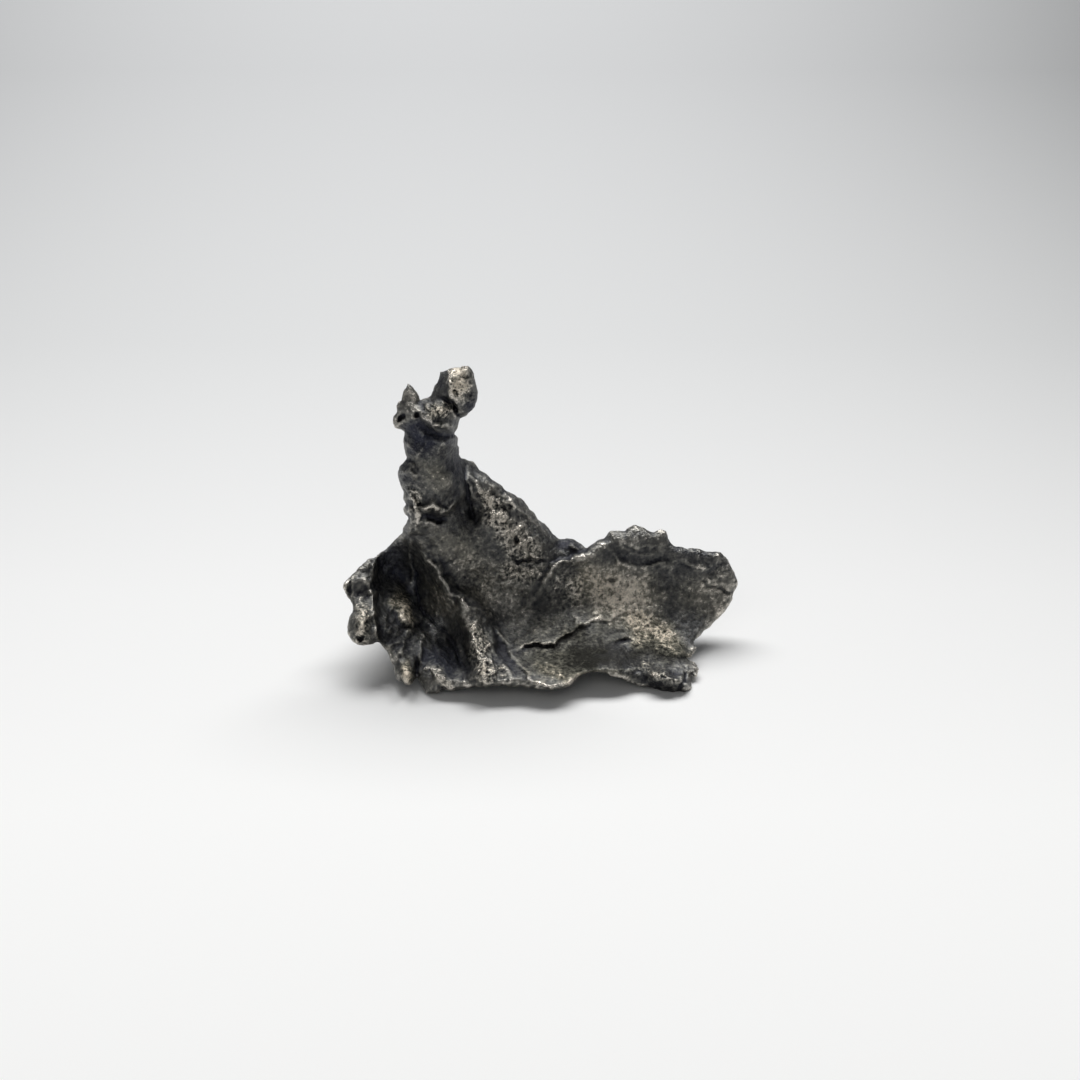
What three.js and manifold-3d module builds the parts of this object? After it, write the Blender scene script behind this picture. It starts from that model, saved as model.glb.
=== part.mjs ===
// A shrapnel piece of an iron meteorite: one torn, crumpled sheet of metal that stands on three
// low points. A neck with a broken, knobbed head rises on the left, a pitted slope runs down from
// it, a smooth scoop flows forward, a wide dished lobe spreads right and a folded wing hangs left.
//
// The form is drawn in a leaning frame: "right" and "up" span a plane that leans back from
// upright, and "out" points forward out of it. A front face map and a thickness map over that
// plane, both drawn through points chosen by eye, give the sheet. All sizes are in millimetres.
import * as THREE from "three";
import { mergeVertices } from "three/addons/utils/BufferGeometryUtils.js";
import Module from "manifold-3d";

const LEAN_DEG = 30;        // how far the drawing plane leans back from upright
const CENTRE_X = 0.17;      // middle of the piece's width in the drawing
const CENTRE_Y = -2.79;     // middle of the piece's depth once it stands upright
const FLOOR_CUT = 0;        // the three feet are worn flat at this height
const CELL = 1.2;           // grid step of the faceted skin
const SOFTNESS = 2.2;       // how softly the maps bend between their points
const STEEPEST = 3;         // steepest slope that thickness is corrected for
const BLEND = 2.6;          // fillet between the sheet and the foot behind it
const SHARPEST = 0.7;       // rounding of the sharpest folds
const THINNEST = 2.2;       // the torn edges are nowhere thinner than this

const lean = THREE.MathUtils.degToRad(LEAN_DEG);

// The silhouette, anticlockwise from the notch between neck and slope: [right, up].
const OUTLINE = [
  // neck, head and ear
  [-11.9, 28.4], [-12.2, 30.0], [-12.5, 31.5], [-13.0, 32.1], [-12.6, 33.0], [-12.5, 33.5],
  [-12.0, 34.3], [-11.0, 34.7], [-10.4, 35.2], [-9.8, 36.1], [-9.5, 37.0], [-9.35, 38.3],
  [-9.6, 39.7], [-9.9, 41.0], [-10.2, 41.9], [-10.6, 42.4], [-11.3, 42.4], [-12.2, 42.0],
  [-13.4, 42.0], [-14.1, 41.6], [-15.0, 41.5], [-15.2, 40.8], [-15.5, 39.8], [-16.1, 38.3],
  [-16.8, 37.5], [-18.0, 36.9], [-18.2, 37.4], [-18.6, 38.2], [-19.1, 38.9], [-19.8, 39.3],
  [-20.3, 38.7], [-20.7, 37.7], [-20.75, 36.9], [-21.1, 37.0], [-21.5, 36.3], [-21.55, 35.3],
  [-22.1, 34.6], [-22.2, 33.6], [-21.8, 33.0], [-20.9, 32.8], [-20.2, 32.4], [-20.4, 31.2],
  [-20.5, 30.1], [-20.3, 29.0], [-20.1, 28.3],
  // torn left side of the neck
  [-20.6, 27.8], [-21.1, 27.1], [-21.5, 26.3], [-21.5, 25.3], [-21.1, 24.4], [-20.7, 23.6],
  [-20.6, 22.8], [-20.7, 22.2], [-20.4, 21.4], [-20.7, 20.8], [-20.6, 20.0], [-20.0, 19.5],
  [-20.2, 18.9], [-20.6, 18.0], [-20.7, 17.1],
  // left wing
  [-21.4, 16.5], [-22.3, 15.8], [-24.2, 14.2], [-25.2, 13.5], [-26.2, 13.1], [-27.2, 12.1],
  [-28.2, 11.1], [-29.2, 10.2], [-29.75, 9.5], [-29.9, 8.8], [-29.5, 7.8], [-29.0, 7.0],
  [-28.6, 6.0], [-28.5, 5.2], [-28.8, 4.2], [-29.1, 2.8], [-29.0, 1.6], [-28.4, 0.6],
  [-27.6, 0.2], [-26.4, 0.05], [-25.4, 0.05], [-24.5, 0.5], [-23.6, -0.1], [-23.0, -0.8],
  [-22.5, -1.9], [-22.0, -2.9], [-22.2, -3.6], [-21.7, -4.6], [-20.9, -5.2], [-20.2, -5.9],
  [-19.5, -5.8], [-18.9, -5.1], [-18.4, -4.7], [-18.1, -5.3], [-17.7, -6.2],
  // front edge
  [-17.3, -7.1], [-16.3, -7.2], [-15.4, -6.9], [-14.6, -6.3], [-13.5, -6.6], [-12.0, -6.4],
  [-10.0, -6.1], [-7.0, -6.1], [-4.5, -5.9], [-2.0, -6.0], [0.5, -6.5], [2.2, -6.5],
  [3.6, -6.2], [4.6, -5.7], [5.2, -5.1], [5.9, -4.4], [6.8, -4.0], [8.5, -3.95],
  [10.2, -4.1], [11.6, -4.6], [13.4, -5.3], [15.0, -5.9], [16.6, -6.2], [18.0, -6.7],
  [19.2, -7.1], [20.2, -7.25], [21.0, -7.1], [21.8, -7.3], [22.6, -6.9], [23.0, -6.2],
  [22.9, -5.5], [22.5, -5.1], [22.6, -4.6], [23.1, -4.3], [23.5, -4.9], [23.9, -4.2],
  [23.8, -3.5], [23.2, -2.6], [22.6, -2.1], [22.1, -1.9], [22.9, -1.6], [23.6, -0.9],
  [23.95, -0.3], [23.4, 0.5], [23.9, 1.1],
  // right lobe and its knobbly top rim
  [25.0, 2.1], [26.0, 3.1], [27.0, 4.1], [28.2, 5.1], [28.9, 6.1], [29.3, 7.2], [29.6, 8.2],
  [29.95, 9.0], [29.9, 10.0], [29.5, 11.2], [28.8, 12.2], [28.3, 13.1], [27.8, 13.9],
  [26.7, 14.4], [25.1, 14.35], [24.1, 14.8], [22.6, 14.8], [21.7, 15.2], [20.4, 15.0],
  [19.9, 15.5], [19.3, 16.6], [19.0, 17.4], [18.2, 17.7], [17.3, 17.4], [16.6, 17.4],
  [15.8, 18.0], [14.5, 18.2], [13.6, 17.8], [13.0, 17.2], [11.7, 17.4], [10.8, 17.5],
  [10.2, 17.0], [9.6, 16.2], [8.7, 16.0], [8.0, 15.3],
  // pitted slope
  [7.1, 14.7], [6.3, 15.6], [5.2, 16.1], [4.0, 16.2], [2.9, 15.9], [2.0, 16.9], [1.0, 18.0],
  [-0.2, 19.2], [-0.6, 20.1], [-2.0, 21.4], [-3.0, 22.4], [-3.9, 23.1], [-5.0, 23.6],
  [-6.1, 24.4], [-7.0, 25.2], [-8.0, 25.9], [-9.2, 26.8], [-10.1, 28.0], [-11.0, 28.35],
];

// How far the front face stands out of the drawing plane: [right, up, out].
const FRONT = [
  // head, ear and collar
  [-12.5, 39.0, 23.0], [-10.6, 41.4, 23.6], [-14.8, 40.4, 21.4], [-11.0, 36.2, 21.4],
  [-19.5, 37.6, 20.3], [-21.5, 34.0, 19.3], [-15.5, 35.6, 21.8], [-18.6, 35.0, 20.6],
  // neck
  [-16.5, 31.5, 20.0], [-16.0, 27.0, 17.6], [-16.0, 23.0, 15.4], [-19.4, 25.8, 15.6],
  [-19.6, 21.5, 13.0], [-13.0, 24.5, 15.0], [-13.2, 30.5, 18.6], [-19.3, 18.0, 11.0],
  // scoop
  [-15.0, 18.6, 11.6], [-14.0, 16.0, 10.0], [-13.0, 13.0, 8.0], [-10.0, 15.0, 8.6],
  [-9.0, 11.0, 6.2], [-11.0, 9.2, 6.4], [-7.0, 7.0, 4.8], [-4.0, 9.0, 4.6], [-1.0, 6.0, 4.0],
  [-5.0, 3.0, 5.8], [-2.0, 2.0, 6.8], [-5.0, -1.0, 10.4], [-4.0, -4.0, 14.6], [0.0, -3.0, 13.3],
  [2.0, -5.6, 16.3],
  // pitted slope
  [-11.0, 27.8, 9.8], [-9.0, 24.5, 9.8], [-6.0, 22.5, 8.8], [-7.0, 19.5, 9.2],
  [-3.0, 20.0, 7.0], [-3.5, 17.0, 7.6], [0.0, 17.3, 5.2], [-1.0, 14.5, 6.0], [2.0, 15.0, 4.2],
  [4.8, 15.4, 2.8], [1.0, 12.5, 4.6], [-5.0, 13.5, 6.8], [-2.0, 11.0, 5.2], [-10.8, 21.0, 8.6],
  // right lobe
  [3.0, 11.0, 4.2], [5.0, 13.0, 3.9], [8.0, 14.2, 4.4], [6.0, 8.0, 3.6], [10.0, 11.0, 4.0],
  [14.0, 15.5, 5.0], [14.0, 17.6, 5.0], [18.5, 16.5, 4.4], [14.0, 12.0, 4.2],
  [18.0, 11.0, 3.2], [14.0, 7.0, 4.2], [20.0, 7.0, 2.9], [24.0, 12.0, 2.6], [28.0, 11.0, 2.0],
  [29.0, 7.5, 1.4], [25.0, 7.0, 1.6], [26.0, 4.0, 2.2], [22.0, 4.0, 3.2], [23.0, 1.0, 4.8],
  [18.0, 2.5, 4.9], [12.0, 3.0, 5.6], [8.0, 1.5, 7.4], [13.0, -1.0, 9.4], [20.0, -1.0, 7.4],
  [5.0, -1.5, 10.8], [8.0, -3.3, 13.4], [12.0, -3.3, 12.8],
  // rolled foot at the right of the front edge
  [15.5, -4.6, 11.8], [19.0, -5.2, 12.6], [20.0, -7.0, 12.9], [22.2, -6.2, 12.2],
  [23.3, -3.6, 9.4],
  // folded left wing
  [-19.0, 8.0, 1.8], [-17.0, 4.5, 3.6], [-14.0, 1.5, 6.4], [-12.0, -3.0, 11.4],
  [-21.0, 13.0, 3.0], [-23.5, 11.0, 2.5], [-22.0, 15.5, 5.6], [-25.0, 13.3, 6.0],
  [-27.5, 10.5, 7.6], [-28.8, 8.0, 8.6], [-27.0, 5.0, 10.5], [-27.5, 2.0, 12.3],
  [-26.0, 0.8, 12.5], [-23.5, 6.0, 6.0], [-22.0, 3.0, 8.0], [-23.0, 0.5, 10.3],
  [-21.0, -1.5, 11.0], [-21.8, -3.4, 12.4], [-20.0, -4.5, 13.8], [-18.3, -3.5, 11.8],
  [-18.0, 0.0, 9.6], [-15.5, -2.0, 11.2], [-16.0, -5.0, 14.2], [-16.5, -6.8, 14.2],
  [-13.0, -6.0, 15.0], [-10.5, -5.6, 15.8],
  // under the fold between wing and scoop
  [-17.5, 14.0, 7.2], [-15.5, 11.0, 6.8], [-13.5, 8.2, 7.0], [-11.5, 6.5, 7.6],
  [-16.0, 7.0, 4.6], [-13.0, 4.5, 7.2], [-11.0, 1.5, 9.2], [-9.0, 0.0, 10.4],
  [-8.0, -3.5, 14.6], [-7.0, -5.6, 16.4],
];

// How thick the sheet is, measured along "out": [right, up, thickness].
const THICKNESS = [
  [-12.5, 39.0, 5.0], [-11.0, 36.0, 4.4], [-16.0, 35.5, 6.6], [-19.5, 37.8, 1.8],
  [-21.5, 34.0, 2.4], [-16.5, 30.0, 6.6], [-16.0, 24.0, 7.2], [-15.0, 18.0, 6.0],
  [-13.0, 13.0, 4.6], [-9.0, 24.0, 4.6], [-5.0, 19.0, 5.2], [0.0, 15.0, 5.0], [5.0, 15.2, 3.6],
  [-6.0, 8.0, 4.4], [-4.0, 0.0, 3.2], [2.0, -5.5, 2.2], [8.0, -3.5, 1.6], [12.0, -3.3, 2.0],
  [19.0, -5.2, 3.6], [22.3, -6.3, 2.2], [23.3, -3.5, 1.4], [24.0, -0.3, 1.8], [8.0, 10.0, 4.2],
  [14.0, 16.0, 3.2], [20.0, 10.0, 3.6], [28.0, 10.0, 2.8], [27.0, 5.0, 2.8], [14.0, 4.0, 3.6],
  [20.0, 1.0, 3.2], [10.0, 1.0, 3.4], [-9.0, 0.0, 4.6], [-7.0, -5.0, 3.4], [-19.0, 8.0, 3.2],
  [-14.0, 0.0, 3.2], [-16.0, -5.5, 3.4], [-20.0, -4.0, 3.0], [-23.0, 0.0, 2.4],
  [-27.0, 3.0, 4.0], [-28.0, 9.0, 3.2], [-23.0, 12.0, 2.8], [-22.0, 15.5, 2.6],
  [-25.5, 13.0, 2.8],
];

// Folds of the front face. Each follows a line of [right, up, height] and fades out over the
// reach on the left and on the right of the line's direction. A short reach makes a step.
const FOLDS = [
  // crest between scoop and wing
  { line: [[-19.0, 17.0, 0.4], [-17.8, 14.5, 1.2], [-16.1, 12.2, 1.8], [-15.0, 10.2, 2.2],
           [-13.5, 8.2, 2.6], [-12.0, 6.9, 2.6], [-10.8, 6.1, 2.2], [-9.2, 5.6, 1.4]],
    left: 2.4, right: 3.6 },
  // bulging ridge below the crest
  { line: [[-11.6, 6.0, 1.2], [-10.4, 3.0, 2.8], [-9.8, 0.0, 3.1], [-9.3, -2.5, 2.2],
           [-8.9, -4.8, 1.0]],
    left: 4.0, right: 1.9, round: true },
  // lip of the apron at the foot of the neck
  { line: [[-19.5, 22.4, 0.6], [-18.3, 20.9, 1.4], [-16.2, 20.8, 1.8], [-15.0, 20.2, 1.8],
           [-13.2, 20.7, 1.4], [-12.3, 21.8, 0.5]],
    left: 3.4, right: 1.3 },
  // groove between neck and slope
  { line: [[-11.7, 28.2, -1.0], [-11.2, 24.5, -1.2], [-10.6, 21.2, -1.3], [-9.6, 18.8, -0.4]],
    left: 1.5, right: 1.3 },
  // rim of the lobe where it laps over the slope
  { line: [[-0.4, 8.3, 0.2], [0.6, 9.5, 0.7], [1.8, 11.3, 1.2], [2.2, 12.3, 1.5],
           [4.6, 13.2, 1.5], [7.2, 14.1, 1.4], [8.4, 15.2, 0.8]],
    left: 0.9, right: 2.6 },
  // overhung crack across the floor of the scoop
  { line: [[-2.9, -0.5, 0.3], [-1.0, 0.7, 1.0], [2.4, 0.4, 1.1], [4.2, 1.9, 0.9],
           [6.0, 3.2, 0.6], [10.3, 3.9, 0.3]],
    left: 3.0, right: 0.7 },
  // step between the wing's outer lobe and its pocket
  { line: [[-25.0, 13.0, 0.8], [-25.3, 10.8, 2.4], [-25.3, 8.0, 2.6], [-24.8, 5.0, 2.0],
           [-24.4, 1.6, 1.0]],
    left: 0.8, right: 3.0 },
  // tongue inside the wing
  { line: [[-23.0, 9.2, 0.4], [-21.9, 7.2, 1.6], [-20.6, 5.0, 2.4], [-20.0, 4.2, 2.2]],
    left: 1.9, right: 1.7, round: true },
  // break under the collar of the head
  { line: [[-18.4, 35.1, 0.3], [-16.6, 34.1, 1.0], [-14.6, 33.1, 1.2], [-12.8, 33.3, 0.7]],
    left: 2.4, right: 0.8 },
  // cleft between collar and head
  { line: [[-14.2, 37.2, -0.8], [-13.3, 36.7, -1.4], [-12.7, 35.9, -2.0], [-11.9, 34.8, -2.0]],
    left: 0.8, right: 0.8 },
  // notch between the two lumps of the front edge
  { line: [[-18.5, -2.6, -0.8], [-18.4, -5.0, -2.4]], left: 0.9, right: 0.9 },
];

// Lumps of the front face: middle [right, up], half sizes, turn in degrees and height.
const LUMPS = [
  { at: [-20.0, 26.2], size: [1.9, 2.1], turn: 20, height: 1.8 },    // knob on the neck
  { at: [-15.4, 35.6], size: [2.9, 1.5], turn: -16, height: 0.9 },   // collar
  { at: [-20.0, -3.9], size: [1.7, 2.2], turn: 10, height: 1.2 },    // foot of the wing
  { at: [-26.8, 3.6], size: [2.0, 3.8], turn: 0, height: 1.0 },      // outer lobe of the wing
  { at: [14.8, 14.2], size: [3.8, 2.0], turn: 4, height: -0.3 },     // dish under the top rim
  { at: [22.2, -6.2], size: [1.1, 1.2], turn: 0, height: 0.7 },      // knob of the rolled foot
];

// The back face has its own folds, the same way up; a positive height stands further back.
const BACK_FOLDS = [
  // spine down the back of the neck
  { line: [[-16.5, 34.0, 0.4], [-15.8, 27.0, 1.2], [-14.5, 20.0, 1.6], [-12.0, 13.0, 1.2]],
    left: 3.0, right: 3.0, round: true },
  // rib across the back of the lobe
  { line: [[4.0, 7.0, 0.6], [11.0, 9.5, 1.4], [18.0, 8.5, 1.3], [25.0, 9.5, 0.5]],
    left: 3.4, right: 2.2 },
  // hollow between the rib and the front edge
  { line: [[2.0, 2.0, -0.7], [10.0, 4.0, -1.0], [19.0, 3.5, -0.7]],
    left: 2.6, right: 2.6, round: true },
  // rib down the back of the wing
  { line: [[-20.5, 16.0, 0.4], [-23.0, 9.0, 1.4], [-23.5, 2.0, 0.9]], left: 2.4, right: 3.0 },
];

// Torn web behind the scoop that ends in the hidden third foot: corners [x, y, z] upright.
const WEB = [[-14.5, 2.5, 16.0], [0.5, 3.5, 9.5], [-8.5, 9.6, 1.3]];
const WEB_HALF_THICKNESS = 1.9;

const MATERIAL = new THREE.MeshStandardMaterial({
  color: 0x504f4c,
  roughness: 0.5,
  metalness: 0.9,
});

// Solves a square system of linear equations by elimination with row exchange.
function solve(rows) {
  const n = rows.length;
  for (let i = 0; i < n; i++) {
    let best = i;
    for (let r = i + 1; r < n; r++) if (Math.abs(rows[r][i]) > Math.abs(rows[best][i])) best = r;
    [rows[i], rows[best]] = [rows[best], rows[i]];
    for (let r = i + 1; r < n; r++) {
      const share = rows[r][i] / rows[i][i];
      for (let k = i; k <= n; k++) rows[r][k] -= share * rows[i][k];
    }
  }
  const answer = new Array(n).fill(0);
  for (let i = n - 1; i >= 0; i--) {
    let rest = rows[i][n];
    for (let k = i + 1; k < n; k++) rest -= rows[i][k] * answer[k];
    answer[i] = rest / rows[i][i];
  }
  return answer;
}

// A smooth map through [right, up, value] points: soft cones on a tilted plane.
function smoothMap(points) {
  const cone = (a, b) => Math.sqrt(a * a + b * b + SOFTNESS * SOFTNESS);
  const plane = ([a, b]) => [1, a, b];
  const rows = points.map((p) => [
    ...points.map((q) => cone(p[0] - q[0], p[1] - q[1])), ...plane(p), p[2],
  ]);
  for (let k = 0; k < 3; k++) rows.push([...points.map((p) => plane(p)[k]), 0, 0, 0, 0]);
  const weights = solve(rows);
  const [level, slopeA, slopeB] = weights.slice(points.length);
  return (a, b) => {
    let value = level + slopeA * a + slopeB * b;
    for (let i = 0; i < points.length; i++)
      value += weights[i] * cone(a - points[i][0], b - points[i][1]);
    return value;
  };
}

// The nearest place on segment p-q: its distance, its share of the way and its side.
function nearest(a, b, p, q) {
  const da = q[0] - p[0];
  const db = q[1] - p[1];
  const share = THREE.MathUtils.clamp(
    ((a - p[0]) * da + (b - p[1]) * db) / (da * da + db * db), 0, 1);
  const distance = Math.hypot(a - p[0] - share * da, b - p[1] - share * db);
  const side = da * (b - p[1]) - db * (a - p[0]);
  return { distance, share, side };
}

function foldHeight(fold, a, b) {
  let closest = { distance: Infinity };
  for (let i = 0; i + 1 < fold.line.length; i++) {
    const found = nearest(a, b, fold.line[i], fold.line[i + 1]);
    if (found.distance < closest.distance) closest = { ...found, index: i };
  }
  const reach = closest.side > 0 ? fold.left : fold.right;
  const rounding = fold.round ? 0 : SHARPEST;
  const away = Math.hypot(closest.distance, rounding) - rounding;
  if (away >= reach) return 0;
  const [from, to] = [fold.line[closest.index][2], fold.line[closest.index + 1][2]];
  const height = THREE.MathUtils.lerp(from, to, closest.share);
  const fall = away / reach;
  return height * (fold.round ? (1 - fall * fall) ** 2 : (1 - fall) ** 2);
}

function lumpHeight(lump, a, b) {
  const turn = THREE.MathUtils.degToRad(lump.turn);
  const [da, db] = [a - lump.at[0], b - lump.at[1]];
  const along = (da * Math.cos(turn) + db * Math.sin(turn)) / lump.size[0];
  const across = (db * Math.cos(turn) - da * Math.sin(turn)) / lump.size[1];
  const fall = along * along + across * across;
  return fall < 1 ? lump.height * (1 - fall) ** 2 : 0;
}

// How deep a point of the drawing plane lies inside the outline; negative outside it.
function depthInside(a, b) {
  let distance = Infinity;
  let inside = false;
  for (let i = 0, j = OUTLINE.length - 1; i < OUTLINE.length; j = i++) {
    const [p, q] = [OUTLINE[j], OUTLINE[i]];
    distance = Math.min(distance, nearest(a, b, p, q).distance);
    const crosses = p[1] > b !== q[1] > b;
    if (crosses && a < ((q[0] - p[0]) * (b - p[1])) / (q[1] - p[1]) + p[0]) inside = !inside;
  }
  return inside ? distance : -distance;
}

const frontMap = smoothMap(FRONT);
const thicknessMap = smoothMap(THICKNESS);

// The sheet over one point of the drawing plane: where its front and back lie, and its margin.
function sheetAt(a, b) {
  const margin = depthInside(a, b);
  const half = Math.max(thicknessMap(a, b), THINNEST) / 2;
  const middle = frontMap(a, b) - half;
  const sum = (folds) => folds.reduce((total, fold) => total + foldHeight(fold, a, b), 0);
  const relief = sum(FOLDS) + LUMPS.reduce((total, lump) => total + lumpHeight(lump, a, b), 0);
  const rim = THREE.MathUtils.clamp(margin / half, 0, 1);
  const full = Math.sqrt(rim * (2 - rim));
  const front = middle + Math.max(half + relief, 0.3) * full;
  const back = middle - Math.max(half + sum(BACK_FOLDS), 0.3) * full;
  return { margin, front, back };
}

// From the leaning drawing frame to the upright one, with the origin under the middle.
const upright = new THREE.Matrix4()
  .makeRotationX(Math.PI / 2 - lean)
  .premultiply(new THREE.Matrix4().makeTranslation(-CENTRE_X, -CENTRE_Y, 0));
const leaning = upright.clone().invert();

const webTriangle = new THREE.Triangle(
  ...WEB.map(([x, y, z]) => new THREE.Vector3(x - CENTRE_X, y - CENTRE_Y, z).applyMatrix4(leaning)),
);

function webDistance(point) {
  const spot = webTriangle.closestPointToPoint(point, new THREE.Vector3());
  return spot.distanceTo(point) - WEB_HALF_THICKNESS;
}

// Joins two distances with a fillet.
function join(first, second) {
  const share = Math.max(BLEND - Math.abs(first - second), 0) / BLEND;
  return Math.min(first, second) - (share * share * BLEND) / 4;
}

const columns = new Map();
function columnAt(a, b) {
  const key = `${a},${b}`;
  if (!columns.has(key)) {
    const here = sheetAt(a, b);
    const step = 0.2;
    const slope = (face) => {
      const across = (sheetAt(a + step, b)[face] - here[face]) / step;
      const upward = (sheetAt(a, b + step)[face] - here[face]) / step;
      return Math.min(Math.hypot(1, across, upward), STEEPEST);
    };
    columns.set(key, { ...here, frontSlope: slope("front"), backSlope: slope("back") });
  }
  return columns.get(key);
}

// Distance from the piece's surface, roughly, in the drawing frame; negative inside.
function field(a, b, c) {
  const here = columnAt(a, b);
  const faces = Math.max((c - here.front) / here.frontSlope, (here.back - c) / here.backSlope);
  const sheet = Math.max(faces, -here.margin);
  return join(sheet, webDistance(new THREE.Vector3(a, b, c)));
}

const CORNERS = [0, 1, 2, 3, 4, 5, 6, 7].map((k) => [k & 1, (k >> 1) & 1, k >> 2]);
const EDGES = [];
for (let k = 0; k < 8; k++)
  for (const bit of [1, 2, 4]) if (!(k & bit)) EDGES.push([k, k | bit]);

// True if the corners of a cell that carry this sign all hang together along its edges.
function hangTogether(mask) {
  const members = CORNERS.map((_, k) => k).filter((k) => mask & (1 << k));
  const reached = new Set(members.slice(0, 1));
  for (let pass = 0; pass < 8; pass++)
    for (const [p, q] of EDGES)
      if (members.includes(p) && members.includes(q) && (reached.has(p) || reached.has(q)))
        reached.add(p).add(q);
  return reached.size === members.length;
}
const SIMPLE = Array.from({ length: 256 }, (_, mask) =>
  hangTogether(mask) && hangTogether(255 - mask));

// A closed faceted skin of the field: one vertex in each grid cell that the surface crosses.
function skin(low, high, cell) {
  const count = low.map((value, axis) => Math.ceil((high[axis] - value) / cell) + 1);
  const at = (i, j, k) => i + count[0] * (j + count[1] * k);
  const place = (i, j, k) => [low[0] + i * cell, low[1] + j * cell, low[2] + k * cell];
  const values = new Float64Array(count[0] * count[1] * count[2]);
  for (let k = 0; k < count[2]; k++)
    for (let j = 0; j < count[1]; j++)
      for (let i = 0; i < count[0]; i++) values[at(i, j, k)] = field(...place(i, j, k));

  const cells = [];
  for (let k = 0; k + 1 < count[2]; k++)
    for (let j = 0; j + 1 < count[1]; j++)
      for (let i = 0; i + 1 < count[0]; i++) cells.push([i, j, k]);
  const cornerOf = ([i, j, k], [x, y, z]) => at(i + x, j + y, k + z);
  const maskOf = (spot) =>
    CORNERS.reduce((mask, corner, n) => mask | ((values[cornerOf(spot, corner)] < 0) << n), 0);

  // Where walls meet inside one cell, the nearest outside corner is filled in.
  for (let changed = true; changed; ) {
    changed = false;
    for (const spot of cells) {
      if (SIMPLE[maskOf(spot)]) continue;
      const outside = CORNERS.map((corner) => cornerOf(spot, corner))
        .filter((n) => values[n] >= 0)
        .sort((m, n) => values[m] - values[n]);
      values[outside[0]] = -0.02 * cell;
      changed = true;
    }
  }

  const vertexOf = new Map();
  const positions = [];
  for (const spot of cells) {
    const mask = maskOf(spot);
    if (mask === 0 || mask === 255) continue;
    const middle = new THREE.Vector3();
    let crossings = 0;
    for (const [p, q] of EDGES) {
      const [from, to] = [CORNERS[p], CORNERS[q]];
      const [vp, vq] = [values[cornerOf(spot, from)], values[cornerOf(spot, to)]];
      if (vp < 0 === vq < 0) continue;
      const crossing = new THREE.Vector3(...from).lerp(new THREE.Vector3(...to), vp / (vp - vq));
      middle.add(crossing);
      crossings++;
    }
    middle.divideScalar(crossings);
    vertexOf.set(at(...spot), positions.length);
    positions.push(settle(middle, place(...spot), cell));
  }

  const faces = [];
  const axes = [[1, 0, 0], [0, 1, 0], [0, 0, 1]];
  for (const spot of cells)
    axes.forEach((axis, n) => {
      const [i, j, k] = spot;
      const [here, there] = [values[at(i, j, k)], values[at(i + axis[0], j + axis[1], k + axis[2])]];
      if (here < 0 === there < 0) return;
      const [u, v] = [axes[(n + 1) % 3], axes[(n + 2) % 3]];
      const around = [[0, 0], [1, 0], [1, 1], [0, 1]].map(([s, t]) =>
        vertexOf.get(at(i - s * u[0] - t * v[0], j - s * u[1] - t * v[1], k - s * u[2] - t * v[2])));
      if (here >= 0) around.reverse();
      faces.push(...split(around, positions));
    });
  return { positions, faces };
}

// Moves a cell's vertex onto the surface, and keeps it inside its cell.
function settle(share, origin, cell) {
  const spot = new THREE.Vector3(...origin).addScaledVector(share, cell);
  const low = new THREE.Vector3(...origin);
  const high = low.clone().addScalar(cell);
  const step = 0.05;
  for (let pass = 0; pass < 3; pass++) {
    const value = field(spot.x, spot.y, spot.z);
    const slope = new THREE.Vector3(
      field(spot.x + step, spot.y, spot.z) - value,
      field(spot.x, spot.y + step, spot.z) - value,
      field(spot.x, spot.y, spot.z + step) - value,
    ).divideScalar(step);
    spot.addScaledVector(slope, -value / Math.max(slope.lengthSq(), 0.3)).clamp(low, high);
  }
  return spot;
}

// Two triangles for a four-cornered face, cut along its shorter diagonal.
function split([p, q, r, s], positions) {
  const straight = positions[p].distanceTo(positions[r]);
  const other = positions[q].distanceTo(positions[s]);
  return straight < other ? [p, q, r, p, r, s] : [p, q, s, q, r, s];
}

// Stands the skin upright and wears its three feet flat.
async function standingPiece() {
  const wasm = await Module();
  wasm.setup();
  const { positions, faces } = skin([-31.2, -9.2, -12.2], [31.4, 44.2, 26.2], CELL);
  const standing = positions.map((spot) => spot.clone().applyMatrix4(upright));
  const solid = new wasm.Manifold(new wasm.Mesh({
    numProp: 3,
    vertProperties: new Float32Array(standing.flatMap((spot) => spot.toArray())),
    triVerts: new Uint32Array(faces),
  }));
  const ground = new THREE.BoxGeometry(90, 90, 10).toNonIndexed();
  ground.translate(0, 0, FLOOR_CUT - 5);
  const worn = solid.subtract(solidOf(ground, wasm)).getMesh();
  const geometry = new THREE.BufferGeometry();
  geometry.setAttribute("position", new THREE.BufferAttribute(worn.vertProperties, worn.numProp));
  geometry.setIndex(new THREE.BufferAttribute(worn.triVerts, 1));
  geometry.computeVertexNormals();
  return geometry;
}

function solidOf(geometry, wasm) {
  const merged = mergeVertices(geometry.deleteAttribute("normal").deleteAttribute("uv"));
  return new wasm.Manifold(new wasm.Mesh({
    numProp: 3,
    vertProperties: merged.attributes.position.array,
    triVerts: new Uint32Array(merged.index.array),
  }));
}

const piece = new THREE.Mesh(await standingPiece(), MATERIAL);
piece.name = "meteorite";

const group = new THREE.Group();
group.add(piece);

export default group;
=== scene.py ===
"""The look of one shrapnel piece of an iron meteorite, a torn and crumpled sheet of metal.

The form is drawn in a leaning frame: "right" and "up" span a plane that leans back from upright,
and "out" points forward out of it. A front face map and a thickness map over that plane give the
sheet, folds and lumps shape it, and grain and pits are raised on its skin. Lengths are in
millimetres unless a name says otherwise, and become metres where the mesh is made.
"""
import math

import bpy
import numpy as np
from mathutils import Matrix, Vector, noise


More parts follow.
